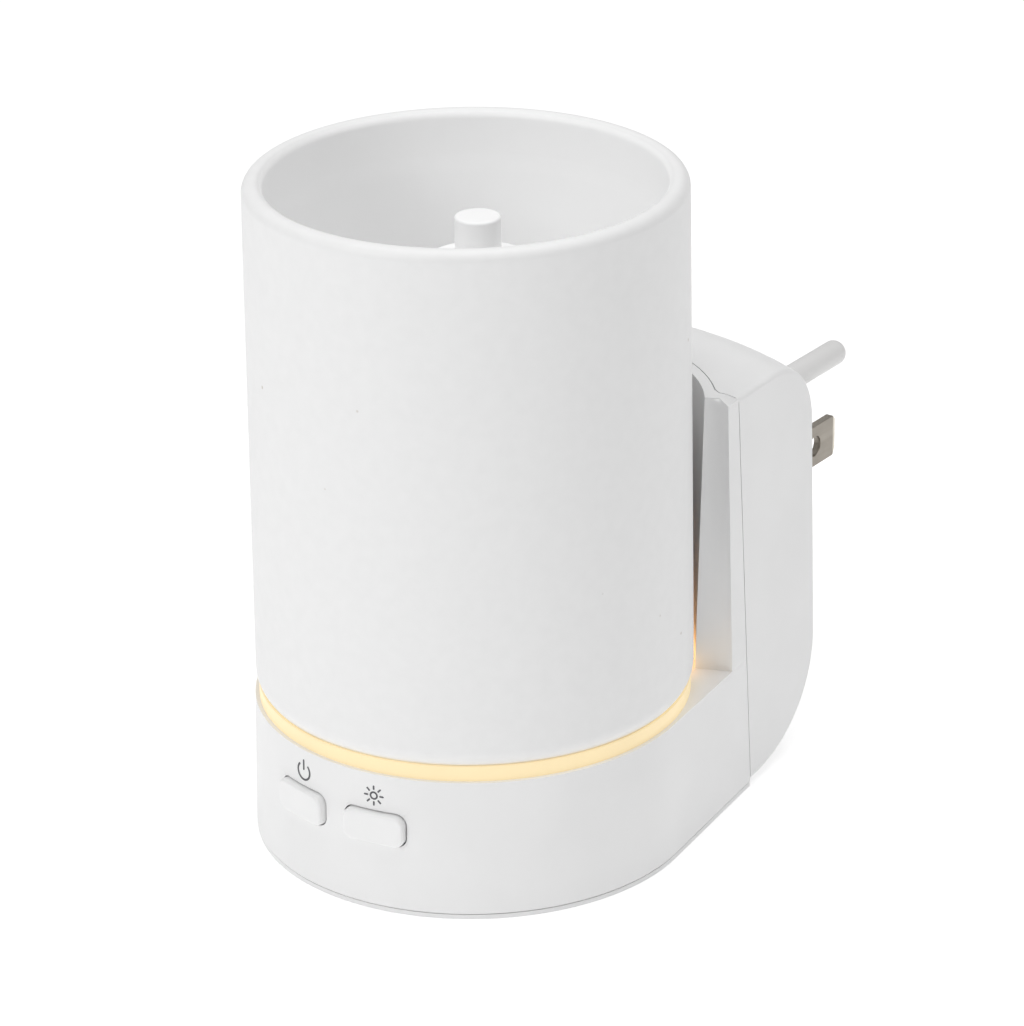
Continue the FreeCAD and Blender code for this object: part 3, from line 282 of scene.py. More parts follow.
def softened_copy(node, name, width, steps=3, share=lambda middle: 1.0, move=None):
    """A merged copy of a CAD node's mesh, with a narrow round asked for on its sharp edges.

    Each edge asks for a share of the width, found from the edge's middle. A piece's shortest edges clamp
    all its rounds, here to under 0.1 mm. Move gives a vertex its new place."""
    sharp = math.radians(35)
    bm = bmesh.new()
    bm.from_mesh(NODES[node].data)
    bmesh.ops.remove_doubles(bm, verts=bm.verts, dist=2e-6)
    bmesh.ops.dissolve_limit(bm, angle_limit=math.radians(0.4), verts=bm.verts, edges=bm.edges)
    weights = bm.edges.layers.float.new("bevel_weight_edge")
    for edge in bm.edges:
        if edge.is_manifold and edge.calc_face_angle() > sharp:
            edge[weights] = share((edge.verts[0].co + edge.verts[1].co) / 2)
    if move:
        for vertex in bm.verts:
            vertex.co = move(vertex.co)
    piece = new_piece(name, as_mesh(name, bm))
    if width:
        bevel = piece.modifiers.new("edges", "BEVEL")
        bevel.width = width
        bevel.segments = steps
        bevel.limit_method = "WEIGHT"
        bevel.use_clamp_overlap = True
        bevel.miter_outer = "MITER_ARC"
        applied(piece)
    return piece


def finished(piece, body, slot, material, *nodes, angle=32):
    """Smooths the piece, gives it its material, and puts it on its CAD body."""
    piece.data.shade_smooth()
    piece.data.set_sharp_from_angle(angle=math.radians(angle))
    normals = piece.modifiers.new("normals", "WEIGHTED_NORMAL")
    normals.keep_sharp = True
    applied(piece)
    piece.data.materials.clear()
    piece.data.materials.append(material)
    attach(piece, body)
    if nodes:
        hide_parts(*nodes)
    return piece


def dress(node, material):
    """Gives a CAD node its material."""
    mesh = NODES[node].data
    mesh.materials.clear()
    mesh.materials.append(material)


# Nodes

def feed(tree, socket, value):
    """Sets an input to a value, or links it to the socket it is given."""
    if isinstance(value, bpy.types.NodeSocket):
        tree.links.new(value, socket)
    else:
        socket.default_value = value


def add_node(tree, kind, **inputs):
    """Adds a node and feeds its inputs; an underscore in a keyword stands for a space."""
    node = tree.nodes.new(kind)
    for name, value in inputs.items():
        feed(tree, node.inputs[name.replace("_", " ")], value)
    return node


def calculated(tree, operation, first, second, kind="ShaderNodeMath"):
    """What a math node makes of two values."""
    node = tree.nodes.new(kind)
    node.operation = operation
    feed(tree, node.inputs[0], first)
    feed(tree, node.inputs[1], second)
    return node.outputs[0]


def object_place(tree):
    """The object's own coordinates."""
    return tree.nodes.new("ShaderNodeTexCoord").outputs["Object"]


def object_axis(tree, axis):
    """One of the object's own coordinates."""
    return add_node(tree, "ShaderNodeSeparateXYZ", Vector=object_place(tree)).outputs[axis]


def from_axis(tree):
    """The distance from the upright axis."""
    flat = calculated(tree, "MULTIPLY", object_place(tree), (1, 1, 0), kind="ShaderNodeVectorMath")
    reach = add_node(tree, "ShaderNodeVectorMath", Vector=flat)
    reach.operation = "LENGTH"
    return reach.outputs["Value"]


def noise(tree, scale, detail=3.0, stretch=(1, 1, 1)):
    """Noise on the object's own coordinates; scale counts cells per metre."""
    place = add_node(tree, "ShaderNodeMapping", Vector=object_place(tree), Scale=stretch).outputs["Vector"]
    return add_node(tree, "ShaderNodeTexNoise", Vector=place, Scale=scale, Detail=detail).outputs["Fac"]


def ranged(tree, value, low, high, from_low=0.3, from_high=0.7):
    """Maps a value onto a range."""
    item = add_node(tree, "ShaderNodeMapRange", Value=value, From_Min=from_low, From_Max=from_high,
                    To_Min=low, To_Max=high)
    return item.outputs["Result"]


def blended(tree, share, first, second):
    """A colour between two colours; each is a colour or a socket."""
    mix = tree.nodes.new("ShaderNodeMix")
    mix.data_type = "RGBA"
    feed(tree, mix.inputs["Factor"], share)
    sockets = [socket for socket in mix.inputs if socket.type == "RGBA"]
    for socket, color in zip(sockets, (first, second)):
        feed(tree, socket, (*color, 1) if isinstance(color, tuple) else color)
    return [socket for socket in mix.outputs if socket.type == "RGBA"][0]


# Materials

def new_material(name, color, roughness, metallic=0.0):
    material = bpy.data.materials.new(name)
    material.use_nodes = True
    shader = material.node_tree.nodes["Principled BSDF"]
    shader.inputs["Base Color"].default_value = (*color, 1)
    shader.inputs["Roughness"].default_value = roughness
    shader.inputs["Metallic"].default_value = metallic
    return material, material.node_tree, shader


def painted(tree, shader, color, roughness):
    """Feeds a shader its colour and its roughness."""
    feed(tree, shader.inputs["Base Color"], color)
    feed(tree, shader.inputs["Roughness"], roughness)


def bumped(tree, shader, height, strength, distance):
    """Gives a shader a fine relief."""
    bump = add_node(tree, "ShaderNodeBump", Height=height, Strength=strength, Distance=distance)
    feed(tree, shader.inputs["Normal"], bump.outputs["Normal"])


def shining(tree, shader, color, strength):
    """Makes a shader give off light."""
    feed(tree, shader.inputs["Emission Color"], color)
    feed(tree, shader.inputs["Emission Strength"], strength)


def shaded(color, share):
    """A darker or lighter tone of a colour."""
    return tuple(min(1.0, c * share) for c in color)


def moulded(name, color, roughness=0.42, grain=2600, depth=0.03, spread=0.02):
    """Moulded plastic: fine grain, a faint cloud in its colour and an uneven gloss."""
    material, tree, shader = new_material(name, color, roughness)
    cloud = ranged(tree, noise(tree, 60, 2), 0, 1)
    tone = blended(tree, cloud, shaded(color, 1 - spread), shaded(color, 1 + spread / 2))
    painted(tree, shader, tone, ranged(tree, noise(tree, 220, 3), roughness - 0.05, roughness + 0.06))
    bumped(tree, shader, noise(tree, grain, 4), depth, 0.02 * MM)
    return material


def metal(name, color, roughness, stretch=(1, 1, 1)):
    """Metal with fine drawn or turned lines, unevenly polished."""
    material, tree, shader = new_material(name, color, roughness, 1.0)
    lines = noise(tree, 900, 4, stretch)
    cloud = ranged(tree, noise(tree, 180, 3), 0, 1)
    tone = blended(tree, cloud, shaded(color, 0.86), shaded(color, 1.06))
    painted(tree, shader, tone, ranged(tree, lines, roughness - 0.08, roughness + 0.1))
    bumped(tree, shader, lines, 0.12, 0.02 * MM)
    return material


def lit(name, color, strength, rear_color, rear_strength, rear=(1.0, 2.0)):
    """Frosted plastic lit from below, with a second colour and strength past a place towards the rear."""
    material, tree, shader = new_material(name, (0.50, 0.42, 0.27), 0.4)
    behind = ranged(tree, object_axis(tree, "Y"), 0, 1, *rear)
    power = ranged(tree, behind, strength, rear_strength, 0, 1)
    cloud = ranged(tree, noise(tree, 45, 2), 0.93, 1.06)
    glow = blended(tree, behind, color, rear_color)
    shining(tree, shader, glow, calculated(tree, "MULTIPLY", power, cloud))
    bumped(tree, shader, noise(tree, 1500, 3), 0.05, 0.02 * MM)
    return material


def ceramic_with_painted_light(name, color, painted_inside_light, edge, painted_glow):
    """Matte ceramic, mottled and lightly specked, with a lighter colour painted inside an edge as painted
    light.

    The inside wall and floor also give off a painted glow, which stands in for light through the wall and
    light bounced inside; the pillar has none."""
    material, tree, shader = new_material(name, color, 0.5)
    mottle = ranged(tree, noise(tree, 420, 5), 0, 1)
    tone = blended(tree, mottle, shaded(color, 0.985), shaded(color, 1.006))
    reach = from_axis(tree)
    # Painted light: a lighter colour inside the edge, standing in for the light that falls there.
    inside = ranged(tree, reach, 0, 1, edge, edge - 0.6 * MM)
    tone = blended(tree, inside, tone, painted_inside_light)
    tone = specked(tree, tone, 95, 0.036, (0.42, 0.36, 0.28))
    tone = specked(tree, tone, 52, 0.020, (0.30, 0.27, 0.24))
    painted(tree, shader, tone, ranged(tree, noise(tree, 400, 3), 0.44, 0.56))
    # Painted glow inside the edge, standing in for light through the wall and bounced light; none near the
    # pillar.
    off_pillar = ranged(tree, reach, 0, painted_glow, 13 * MM, 17 * MM)
    shining(tree, shader, (1, 1, 1, 1), calculated(tree, "MULTIPLY", inside, off_pillar))
    bumped(tree, shader, noise(tree, 900, 5), 0.10, 0.03 * MM)
    return material


def specked(tree, tone, scale, size, speck):
    """Faint specks over a tone; scale counts cells per metre and size is a speck's share of its cell."""
    cells = add_node(tree, "ShaderNodeTexVoronoi", Vector=object_place(tree), Scale=scale)
    spot = ranged(tree, cells.outputs["Distance"], 0.55, 0, size * 0.5, size)
    return blended(tree, spot, tone, speck)


# Geometry Nodes for what repeats

def new_tree(name, inputs):
    """A geometry tree and its inputs' sockets; an input is (name, socket type, value)."""
    tree = bpy.data.node_groups.new(name, "GeometryNodeTree")
    tree.interface.new_socket("Geometry", in_out="INPUT", socket_type="NodeSocketGeometry")
    for label, kind, value in inputs:
        socket = tree.interface.new_socket(label, in_out="INPUT", socket_type=kind)
        if value is not None:
            socket.default_value = value
    tree.interface.new_socket("Geometry", in_out="OUTPUT", socket_type="NodeSocketGeometry")
    return tree, tree.nodes.new("NodeGroupInput").outputs


def end_tree(tree, instances, material):
    """Realises the instances and sets their material, as the tree's end."""
    real = add_node(tree, "GeometryNodeRealizeInstances", Geometry=instances)
    paint = add_node(tree, "GeometryNodeSetMaterial", Geometry=real.outputs["Geometry"], Material=material)
    feed(tree, tree.nodes.new("NodeGroupOutput").inputs[0], paint.outputs["Geometry"])
    return tree


def around_tree():
    """Copies of a piece, evenly round the upright axis."""
    tree, given = new_tree("copies_around", [
        ("Piece", "NodeSocketObject", None),
        ("Count", "NodeSocketInt", 8),
        ("Radius", "NodeSocketFloat", 0.03),
        ("Height", "NodeSocketFloat", 0.0),
        ("Material", "NodeSocketMaterial", None),
    ])
    circle = add_node(tree, "GeometryNodeMeshCircle", Vertices=given["Count"], Radius=given["Radius"])
    piece = add_node(tree, "GeometryNodeObjectInfo", Object=given["Piece"])
    index = tree.nodes.new("GeometryNodeInputIndex").outputs["Index"]
    share = calculated(tree, "DIVIDE", index, given["Count"])
    spin = add_node(tree, "ShaderNodeCombineXYZ", Z=calculated(tree, "MULTIPLY", share, math.tau))
    copies = add_node(tree, "GeometryNodeInstanceOnPoints", Points=circle.outputs["Mesh"],
                      Instance=piece.outputs["Geometry"], Rotation=spin.outputs["Vector"])
    rise = add_node(tree, "ShaderNodeCombineXYZ", Z=given["Height"])
    raised = add_node(tree, "GeometryNodeTransform", Geometry=copies.outputs["Instances"],
                      Translation=rise.outputs["Vector"])
    return end_tree(tree, raised.outputs["Geometry"], given["Material"])


def row_tree():
    """Copies of a piece in a row from one place to another."""
    tree, given = new_tree("copies_in_row", [
        ("Piece", "NodeSocketObject", None),
        ("Count", "NodeSocketInt", 2),
        ("First", "NodeSocketVector", None),
        ("Last", "NodeSocketVector", None),
        ("Material", "NodeSocketMaterial", None),
    ])
    line = tree.nodes.new("GeometryNodeMeshLine")
    line.mode = "END_POINTS"
    feed(tree, line.inputs["Count"], given["Count"])
    feed(tree, line.inputs["Start Location"], given["First"])
    feed(tree, line.inputs["Offset"], given["Last"])
    piece = add_node(tree, "GeometryNodeObjectInfo", Object=given["Piece"])
    copies = add_node(tree, "GeometryNodeInstanceOnPoints", Points=line.outputs["Mesh"],
                      Instance=piece.outputs["Geometry"])
    return end_tree(tree, copies.outputs["Instances"], given["Material"])


def repeated(name, tree, seed, **inputs):
    """Runs a tree on a new piece with its inputs, makes the result plain, and removes the single piece."""
    piece = new_piece(name, bpy.data.meshes.new(name))
    modifier = piece.modifiers.new("copies", "NODES")
    modifier.node_group = tree
    inputs["Piece"] = seed
    for item in tree.interface.items_tree:
        if item.in_out == "INPUT" and item.name in inputs:
            modifier[item.identifier] = inputs[item.name]
    applied(piece)
    bpy.data.objects.remove(seed)
    return piece


# Pieces

class WARMER_OT_cup(bpy.types.Operator):
    """Turns the ceramic cup with its pillar and post"""
    bl_idname = "warmer.cup"
    bl_label = "Cup"

    def execute(self, context):
        size = context.scene.warmer_sizes
        finish = context.scene.warmer_finish
        piece = turned("cup", cup_profile(size), 256)
        shift_pillar(piece, size.pillar_shift)
        # Painted light on the cup's inside, a lighter colour and a glow, starts just inside the wall.
        painted_light_edge = size.cup_rim_radius - size.cup_wall + 0.7 * MM
        material = ceramic_with_painted_light("ceramic", tuple(finish.ceramic), tuple(finish.painted_inside_light), painted_light_edge,
                          finish.painted_inside_glow)
        finished(piece, "cup", "ceramic_white", material, "wax_cup")
        return {"FINISHED"}


def cup_profile(size):
    """The cup's half section: the bore under its pillar, the foot, the wall, and inside up to the post."""
    foot_radius = 38.45 * MM
    bore_radius = 6.4 * MM
    bore_top_radius = 5.2 * MM
    bore_top = PILLAR_TOP - 3.5 * MM
    pillar_foot_radius = 11.4 * MM
    rim = TOP - size.cup_drop
    inner = size.cup_rim_radius - size.cup_wall
    lower_inner = inner - 0.12 * MM
    crease = TOP - 10.2 * MM
    return rounded([
        (0, bore_top, 0),
        (bore_top_radius, bore_top, 0),
        (bore_radius, SEAT, 0),
        (foot_radius, SEAT, 4.5 * MM),
        (size.cup_rim_radius, rim, size.rim_round),
        (inner, rim, 1.5 * MM),
        (inner, crease + 1.5 * MM, 3 * MM),
        (lower_inner, crease - 1.5 * MM, 3 * MM),
        (lower_inner, CUP_FLOOR, 6 * MM),
        (pillar_foot_radius, CUP_FLOOR, 1.5 * MM),
        (size.pillar_radius, PILLAR_TOP, 1.5 * MM),
        (size.post_radius, PILLAR_TOP, 0.35 * MM),
        (size.post_radius, POST_TOP, 0.45 * MM),
        (0, POST_TOP, 0),
    ], closed=False, steps=12)


def shift_pillar(piece, shift):
    """Moves the pillar and its post beside the cup's axis; the bore under them stays."""
    pillar_reach = 14 * MM
    bore_reach = 8 * MM
    bore_end = PILLAR_TOP - 2 * MM
    for vertex in piece.data.vertices:
        reach = Vector(vertex.co[:2]).length
        of_pillar = reach < pillar_reach and vertex.co.z > CUP_FLOOR - 0.1 * MM
        of_bore = reach < bore_reach and vertex.co.z < bore_end
        if of_pillar and not of_bore:
            vertex.co.x += shift[0]
            vertex.co.y += shift[1]


class WARMER_OT_ring(bpy.types.Operator):
    """Turns the lit ring round the cup's foot, with its light guide"""
    bl_idname = "warmer.ring"
    bl_label = "Light ring"

    def execute(self, context):
        finish = context.scene.warmer_finish
        piece = turned("ring", ring_profile(), 256)
        material = lit("frosted_glow", tuple(finish.glow), finish.glow_strength, tuple(finish.spill),
                       finish.spill_strength, rear=(20 * MM, 28 * MM))
        finished(piece, "housing", "ring_glow", material, "light_ring")
        return {"FINISHED"}


def ring_profile(steps=16):
    """The ring's half section: its guide in the base, its outer lip and the hollow under the cup's foot."""
    guide_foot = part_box("light_ring")[0].z
    inner = 31.5 * MM
    guide = 33.3 * MM
    outer = 37.92 * MM
    lip = 0.15 * MM
    hollow_centre = Vector((33.8 * MM, SEAT + 4.5 * MM))
    hollow_radius = 4.8 * MM
    reach = math.asin((outer - lip - hollow_centre.x) / hollow_radius)
    hollow = []
    for k in range(steps, -1, -1):
        angle = reach * k / steps
        hollow.append((hollow_centre.x + hollow_radius * math.sin(angle),
                       hollow_centre.y - hollow_radius * math.cos(angle)))
    side = [(inner, guide_foot), (guide, guide_foot), (guide, DECK), (outer, DECK),
            (outer, hollow[0][1] - lip)]
    return side + hollow + [(inner, SEAT - 0.3 * MM)]


class WARMER_OT_front_body(bpy.types.Operator):
    """Finishes the base, deck and concave column wall, with the valleys in its wings"""
    bl_idname = "warmer.front_body"
    bl_label = "Front body"

    def execute(self, context):
        size = context.scene.warmer_sizes
        piece = softened_copy("front_body", "front_moulding", size.edge_round, share=front_edge_share)
        finished(piece, "housing", "housing_white", housing_plastic(context), "front_body", angle=40)
        for name, side in (("wing_valley_left", -1), ("wing_valley_right", 1)):
            finished(valley_fill(name, side), "housing", "housing_white", housing_plastic(context))
        return {"FINISHED"}


def front_edge_share(middle):
    """The share of the round that a front body's edge asks for: none at the foot, half round the buttons."""
    if middle.z < FOOT_EDGES:
        return 0.0
    return 0.5 if middle.y < BUTTONS_END.y and middle.z < BUTTONS_END.z else 1.0


def valley_fill(name, side, steps=24, top_steps=8):
    """A smooth concave face over the valley in a wing's front, rounded back at its top."""
    top_round = 1.1 * MM
    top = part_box("front_body")[1].z - 0.15 * MM
    heights = [DECK + (top - top_round - DECK) * k / steps for k in range(steps)]
    heights += [top - top_round * math.cos(math.pi / 2 * k / top_steps) for k in range(top_steps + 1)]
    rings = []
    for z in heights:
        rise = max(0.0, 1 - (top - z) / top_round)
        ring = valley_ring(z, 1 - math.sqrt(1 - rise * rise), steps)
        rings.append([Vector((p.x * side, p.y, z)) for p in ring])
    return skin(name, rings)


def valley_ring(z, laid_back, steps):
    """The valley's face at one height, laid back onto its facets by a share, closed by a point behind it."""
    high = (z - DECK) / (WING_TOP[0].z - DECK)
    inner, middle, outer = (foot.lerp(head, high) for foot, head in zip(WING_FOOT, WING_TOP))
    start = inner.lerp(middle, 0.16)
    end = middle.lerp(outer, 0.86)
    ring = []
    for i in range(steps + 1):
        share = i / steps
        curve = start.lerp(middle, share).lerp(middle.lerp(end, share), share)
        facet = start.lerp(middle, share * 2) if share < 0.5 else middle.lerp(end, share * 2 - 1)
        ring.append(curve.lerp(facet, laid_back))
    ring.append(middle + Vector((0, 0.6 * MM, 0)))
    return ring


class WARMER_OT_rear_shell(bpy.types.Operator):
    """Finishes the column's back and sides"""
    bl_idname = "warmer.rear_shell"
    bl_label = "Rear shell"

    def execute(self, context):
        half_round = context.scene.warmer_sizes.edge_round / 2
        piece = softened_copy("rear_shell", "rear_moulding", half_round)
        finished(piece, "housing", "housing_white", housing_plastic(context), "rear_shell")
        return {"FINISHED"}


class WARMER_OT_bottom_cover(bpy.types.Operator):
    """Finishes the cover under the base"""
    bl_idname = "warmer.bottom_cover"
    bl_label = "Bottom cover"

    def execute(self, context):
        piece = softened_copy("bottom_cover", "base_cover", 0.2 * MM, steps=2)
        color = shaded(tuple(context.scene.warmer_finish.housing), 0.97)
        finished(piece, "housing", "cover_white", moulded("cover_plastic", color), "bottom_cover")
        return {"FINISHED"}


def housing_plastic(context):
    """The housing's one plastic, made once."""
    found = bpy.data.materials.get("housing_plastic")
    return found or moulded("housing_plastic", tuple(context.scene.warmer_finish.housing))


class WARMER_OT_buttons(bpy.types.Operator):
    """Makes the two buttons, each with its retaining flange"""
    bl_idname = "warmer.buttons"
    bl_label = "Buttons"

    def execute(self, context):
        size = context.scene.warmer_sizes
        color = shaded(tuple(context.scene.warmer_finish.housing), 1.02)
        material = moulded("button_plastic", color, 0.38)
        for side, turn in (("power", -1), ("light", 1)):
            low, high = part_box(f"{side}_button")
            middle = (low.z + high.z) / 2
            spin = Matrix.Rotation(size.button_angle * turn - size.button_shift, 3, "Z")
            rings = []
            for reach, grow in button_steps():
                loop = rounded_box(CAP_HALF_X + grow, CAP_HALF_Z + grow, CAP_CORNER + grow, steps=10)
                rings.append([spin @ Vector((x, -reach, middle + z)) for x, z in loop])
            piece = skin(f"{side}_button_cap", rings)
            finished(piece, f"{side}_key", "button_white", material, f"{side}_button")
        return {"FINISHED"}


def button_steps():
    """A button from the back to the front, as (distance from the base's axis, growth past its face)."""
    flange = 1.0 * MM
    flange_back = 34.98 * MM
    flange_front = 35.78 * MM
    front = 39.91 * MM
    edge = 0.55 * MM
    steps = [(flange_back, flange), (flange_front, flange), (flange_front, 0.0), (39.2 * MM, 0.0)]
    for angle in range(0, 91, 15):
        turn = math.radians(angle)
        steps.append((front - edge + edge * math.sin(turn), edge * (math.cos(turn) - 1)))
    return steps + [(front, -edge - 0.6 * MM)]


class WARMER_OT_signs(bpy.types.Operator):
    """Prints the power and light signs on the base above the buttons"""
    bl_idname = "warmer.signs"
    bl_label = "Signs"

    def execute(self, context):
        size = context.scene.warmer_sizes
        ink = moulded("sign_ink", tuple(context.scene.warmer_finish.sign), 0.55, spread=0.1)
        left = -size.button_angle - size.button_shift + math.radians(0.6)
        right = size.button_angle - size.button_shift
        wrapped("power_sign", power_strokes(size.power_sign_size / 2), left, size.sign_height, ink)
        wrapped("light_sign", light_strokes(size.light_sign_size / 2, ink), right, size.sign_height, ink)
        return {"FINISHED"}


def power_strokes(half, width=0.36 * MM):
    """The power sign's faces: an open ring with a bar through its gap."""
    ring = stroke_arc(half, math.radians(130), math.radians(410), width)
    return ring + stroke_line(Vector((0, half * 0.25)), Vector((0, half * 1.3)), width)


def light_strokes(half, ink, width=0.30 * MM):
    """The light sign's faces: a small ring with eight rays."""
    line = stroke_line(Vector((0, 0)), Vector((half * 0.38, 0)), width)
    ray = bpy.data.objects.new("ray", flat_mesh("ray", line))
    rays = repeated("sun_rays", around_tree(), ray, Count=8, Radius=half * 0.86, Height=0.0, Material=ink)
    points = [Vector(vertex.co[:2]) for vertex in rays.data.vertices]
    faces = [[points[v] for v in face.vertices] for face in rays.data.polygons]
    bpy.data.objects.remove(rays)
    return stroke_arc(half * 0.44, 0, math.tau, width) + faces


def stroke_arc(radius, start, end, width, steps=36):
    """Faces of an arc stroke in the plane, as lists of points."""
    faces = []
    for k in range(steps):
        a, b = (start + (end - start) * (k + n) / steps for n in (0, 1))
        corners = [(radius - width / 2, a), (radius + width / 2, a), (radius + width / 2, b),
                   (radius - width / 2, b)]
        faces.append([Vector((r * math.cos(t), r * math.sin(t))) for r, t in corners])
    return faces


def stroke_line(start, end, width, steps=6):
    """Faces of a straight stroke with round ends."""
    along = (end - start).normalized()
    across = Vector((-along.y, along.x)) * (width / 2)
    outline = []
    for point, sign in ((end, 1), (start, -1)):
        for k in range(steps + 1):
            angle = math.pi * k / steps
            beside = across * math.cos(angle) * -sign
            beyond = along * (width / 2) * math.sin(angle) * sign
            outline.append(point + (beside + beyond))
    return [outline]


def flat_mesh(name, faces):
    """A mesh of flat faces, each a list of points."""
    bm = bmesh.new()
    for face in faces:
        bm.faces.new([bm.verts.new((p.x, p.y, 0)) for p in face])
    return as_mesh(name, bm)


def base_radius(z):
    """The radius of the base's round side at a height."""
    return BASE_RADIUS - BASE_LEAN * (z - BASE_FOOT)


def wrapped(name, faces, angle, height, ink):
    """Lays flat strokes on the round base as a thin raised print."""
    bm = bmesh.new()
    for face in faces:
        layers = []
        for rise in (-0.05 * MM, 0.04 * MM):
            loop = []
            for p in face:
                z = height + p.y
                radius = base_radius(z) + rise
                a = angle + p.x / radius
                loop.append(bm.verts.new((radius * math.sin(a), -radius * math.cos(a), z)))
            layers.append(loop)
        low, high = layers
        bm.faces.new(low)
        bm.faces.new(high)
        for k in range(len(low)):
            bm.faces.new((low[k - 1], low[k], high[k], high[k - 1]))
    bmesh.ops.recalc_face_normals(bm, faces=bm.faces)
    finished(new_piece(name, as_mesh(name, bm)), "housing", "housing_white", ink)


class WARMER_OT_plug(bpy.types.Operator):
    """Finishes the plug's carrier, blades and pin"""
    bl_idname = "warmer.plug"
    bl_label = "Plug"

    def execute(self, context):
        grey = moulded("plug_plastic", (0.80, 0.79, 0.79), 0.4)
        carrier = softened_copy("plug_carrier", "plug_block", 0.25 * MM, move=with_pin_bore)
        finished(carrier, "housing", "plug_grey", grey, "plug_carrier")
        nickel = metal("nickel", (0.34, 0.31, 0.27), 0.38, (1, 0.05, 1))
        # Painted highlight on the blades' bevelled tips.
        paint_tip_highlight(nickel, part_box("neutral_blade")[1].y - BLADE_TIP)
        for node, name in (("neutral_blade", "wide_blade"), ("hot_blade", "narrow_blade")):
            finished(flat_blade(name, *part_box(node)), "housing", "blade_nickel", nickel, node)
        pale = moulded("pin_plastic", (0.77, 0.765, 0.76), 0.34)
        pin = softened_copy("stabiliser_pin", "round_pin", 0, move=lambda place: place + PIN_DROP)
        finished(pin, "housing", "pin_grey", pale, "stabiliser_pin", angle=40)
        return {"FINISHED"}


def with_pin_bore(place):
    """A place on the plug's carrier; the pin's bore goes down with the pin."""
    from_pin = math.hypot(place.x - PIN_AXIS.x, place.z - PIN_AXIS.z)
    return place + PIN_DROP if from_pin < PIN_BORE_REACH else place


def paint_tip_highlight(material, start):
    """Gives a metal a painted highlight beyond a place along the blades: a lighter, less metallic colour."""
    tree = material.node_tree
    shader = tree.nodes["Principled BSDF"]
    color = shader.inputs["Base Color"]
    tone = color.links[0].from_socket
    # Painted highlight: a lighter cream colour and less metal past the start.
    tip_highlight = ranged(tree, object_axis(tree, "Y"), 0, 1, start, start + 0.15 * MM)
    feed(tree, color, blended(tree, tip_highlight, tone, (0.80, 0.75, 0.64)))
    feed(tree, shader.inputs["Metallic"], ranged(tree, tip_highlight, 1, 0.25, 0, 1))


def flat_blade(name, low, high):
    """A flat blade with a bevelled tip and a round hole near it."""
    hole_radius = 1.95 * MM
    hole_from_tip = 7.7 * MM
    middle = (low + high) / 2
    half_x = (high.x - low.x) / 2
    half_z = (high.z - low.z) / 2
    rings = []
    for y, thin, narrow in ((low.y, 0, 0), (high.y - BLADE_TIP, 0, 0), (high.y, 0.42 * MM, 1.1 * MM)):
        rings.append([Vector((middle.x + x * (half_x - thin), y, middle.z + z * (half_z - narrow)))
                      for x, z in ((1, -1), (1, 1), (-1, 1), (-1, -1))])
    piece = skin(name, rings)
    place = Matrix.Translation((middle.x, high.y - hole_from_tip, middle.z))
    bar = bmesh.new()
    bmesh.ops.create_cone(bar, cap_ends=True, segments=48, radius1=hole_radius, radius2=hole_radius,
                          depth=6 * MM, matrix=place @ Matrix.Rotation(math.pi / 2, 4, "Y"))
    cut(piece, "hole", bar)
    edges = piece.modifiers.new("edges", "BEVEL")
    edges.width = 0.13 * MM
    edges.segments = 2
    edges.limit_method = "ANGLE"
    edges.angle_limit = math.radians(25)
    return applied(piece)


class WARMER_OT_screws(bpy.types.Operator):
    """Makes the three pairs of cross-head screws"""
    bl_idname = "warmer.screws"
    bl_label = "Screws"

    def execute(self, context):
        zinc = metal("zinc", (0.62, 0.63, 0.65), 0.3)
        tree = row_tree()
        for node, name, axis in (("cover_screws", "cover_screw_pair", Vector((0, 0, 1))),
                                 ("rear_screws", "rear_screw_pair", Vector((0, -1, 0))),
                                 ("board_screws", "board_screw_pair", Vector((0, 1, 0)))):
            piece = screw_pair(name, tree, axis, zinc, *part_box(node))
            finished(piece, "housing", "screw_zinc", zinc, node)
        return {"FINISHED"}


def screw_pair(name, tree, axis, material, low, high):
    """Two screws that point along an axis, one at each side of a box."""
    middle = (low + high) / 2
    heads = [low[i] if axis[i] > 0 else high[i] for i in range(3)]
    place = Vector([heads[i] if axis[i] else middle[i] for i in range(3)])
    single = cross_screw()
    single.data.transform(Vector((0, 0, 1)).rotation_difference(axis).to_matrix().to_4x4())
    first = Vector((low.x + SCREW_HEAD, place.y, place.z))
    last = Vector((high.x - SCREW_HEAD, place.y, place.z))
    return repeated(name, tree, single, Count=2, First=first, Last=last, Material=material)


def cross_screw():
    """One pan-head screw with a cross recess; its head starts at the origin and its shank runs up."""
    shank = 1.3 * MM
    head_height = 1.1 * MM
    profile = rounded([
        (0, 0, 0),
        (SCREW_HEAD, 0, 0.5 * MM),
        (SCREW_HEAD, head_height, 0),
        (shank, head_height, 0),
        (shank, SCREW_LENGTH - 0.6 * MM, 0),
        (0.4 * MM, SCREW_LENGTH, 0),
        (0, SCREW_LENGTH, 0),
    ], closed=False, steps=6)
    piece = turned("screw", profile, 48)
    slot = Matrix.Diagonal((2.3 * MM, 0.45 * MM, 1.3 * MM, 1))
    for angle in (0, 90):
        bar = bmesh.new()
        bmesh.ops.create_cube(bar, size=1, matrix=Matrix.Rotation(math.radians(angle), 4, "Z") @ slot)
        cut(piece, "recess", bar)
    return piece


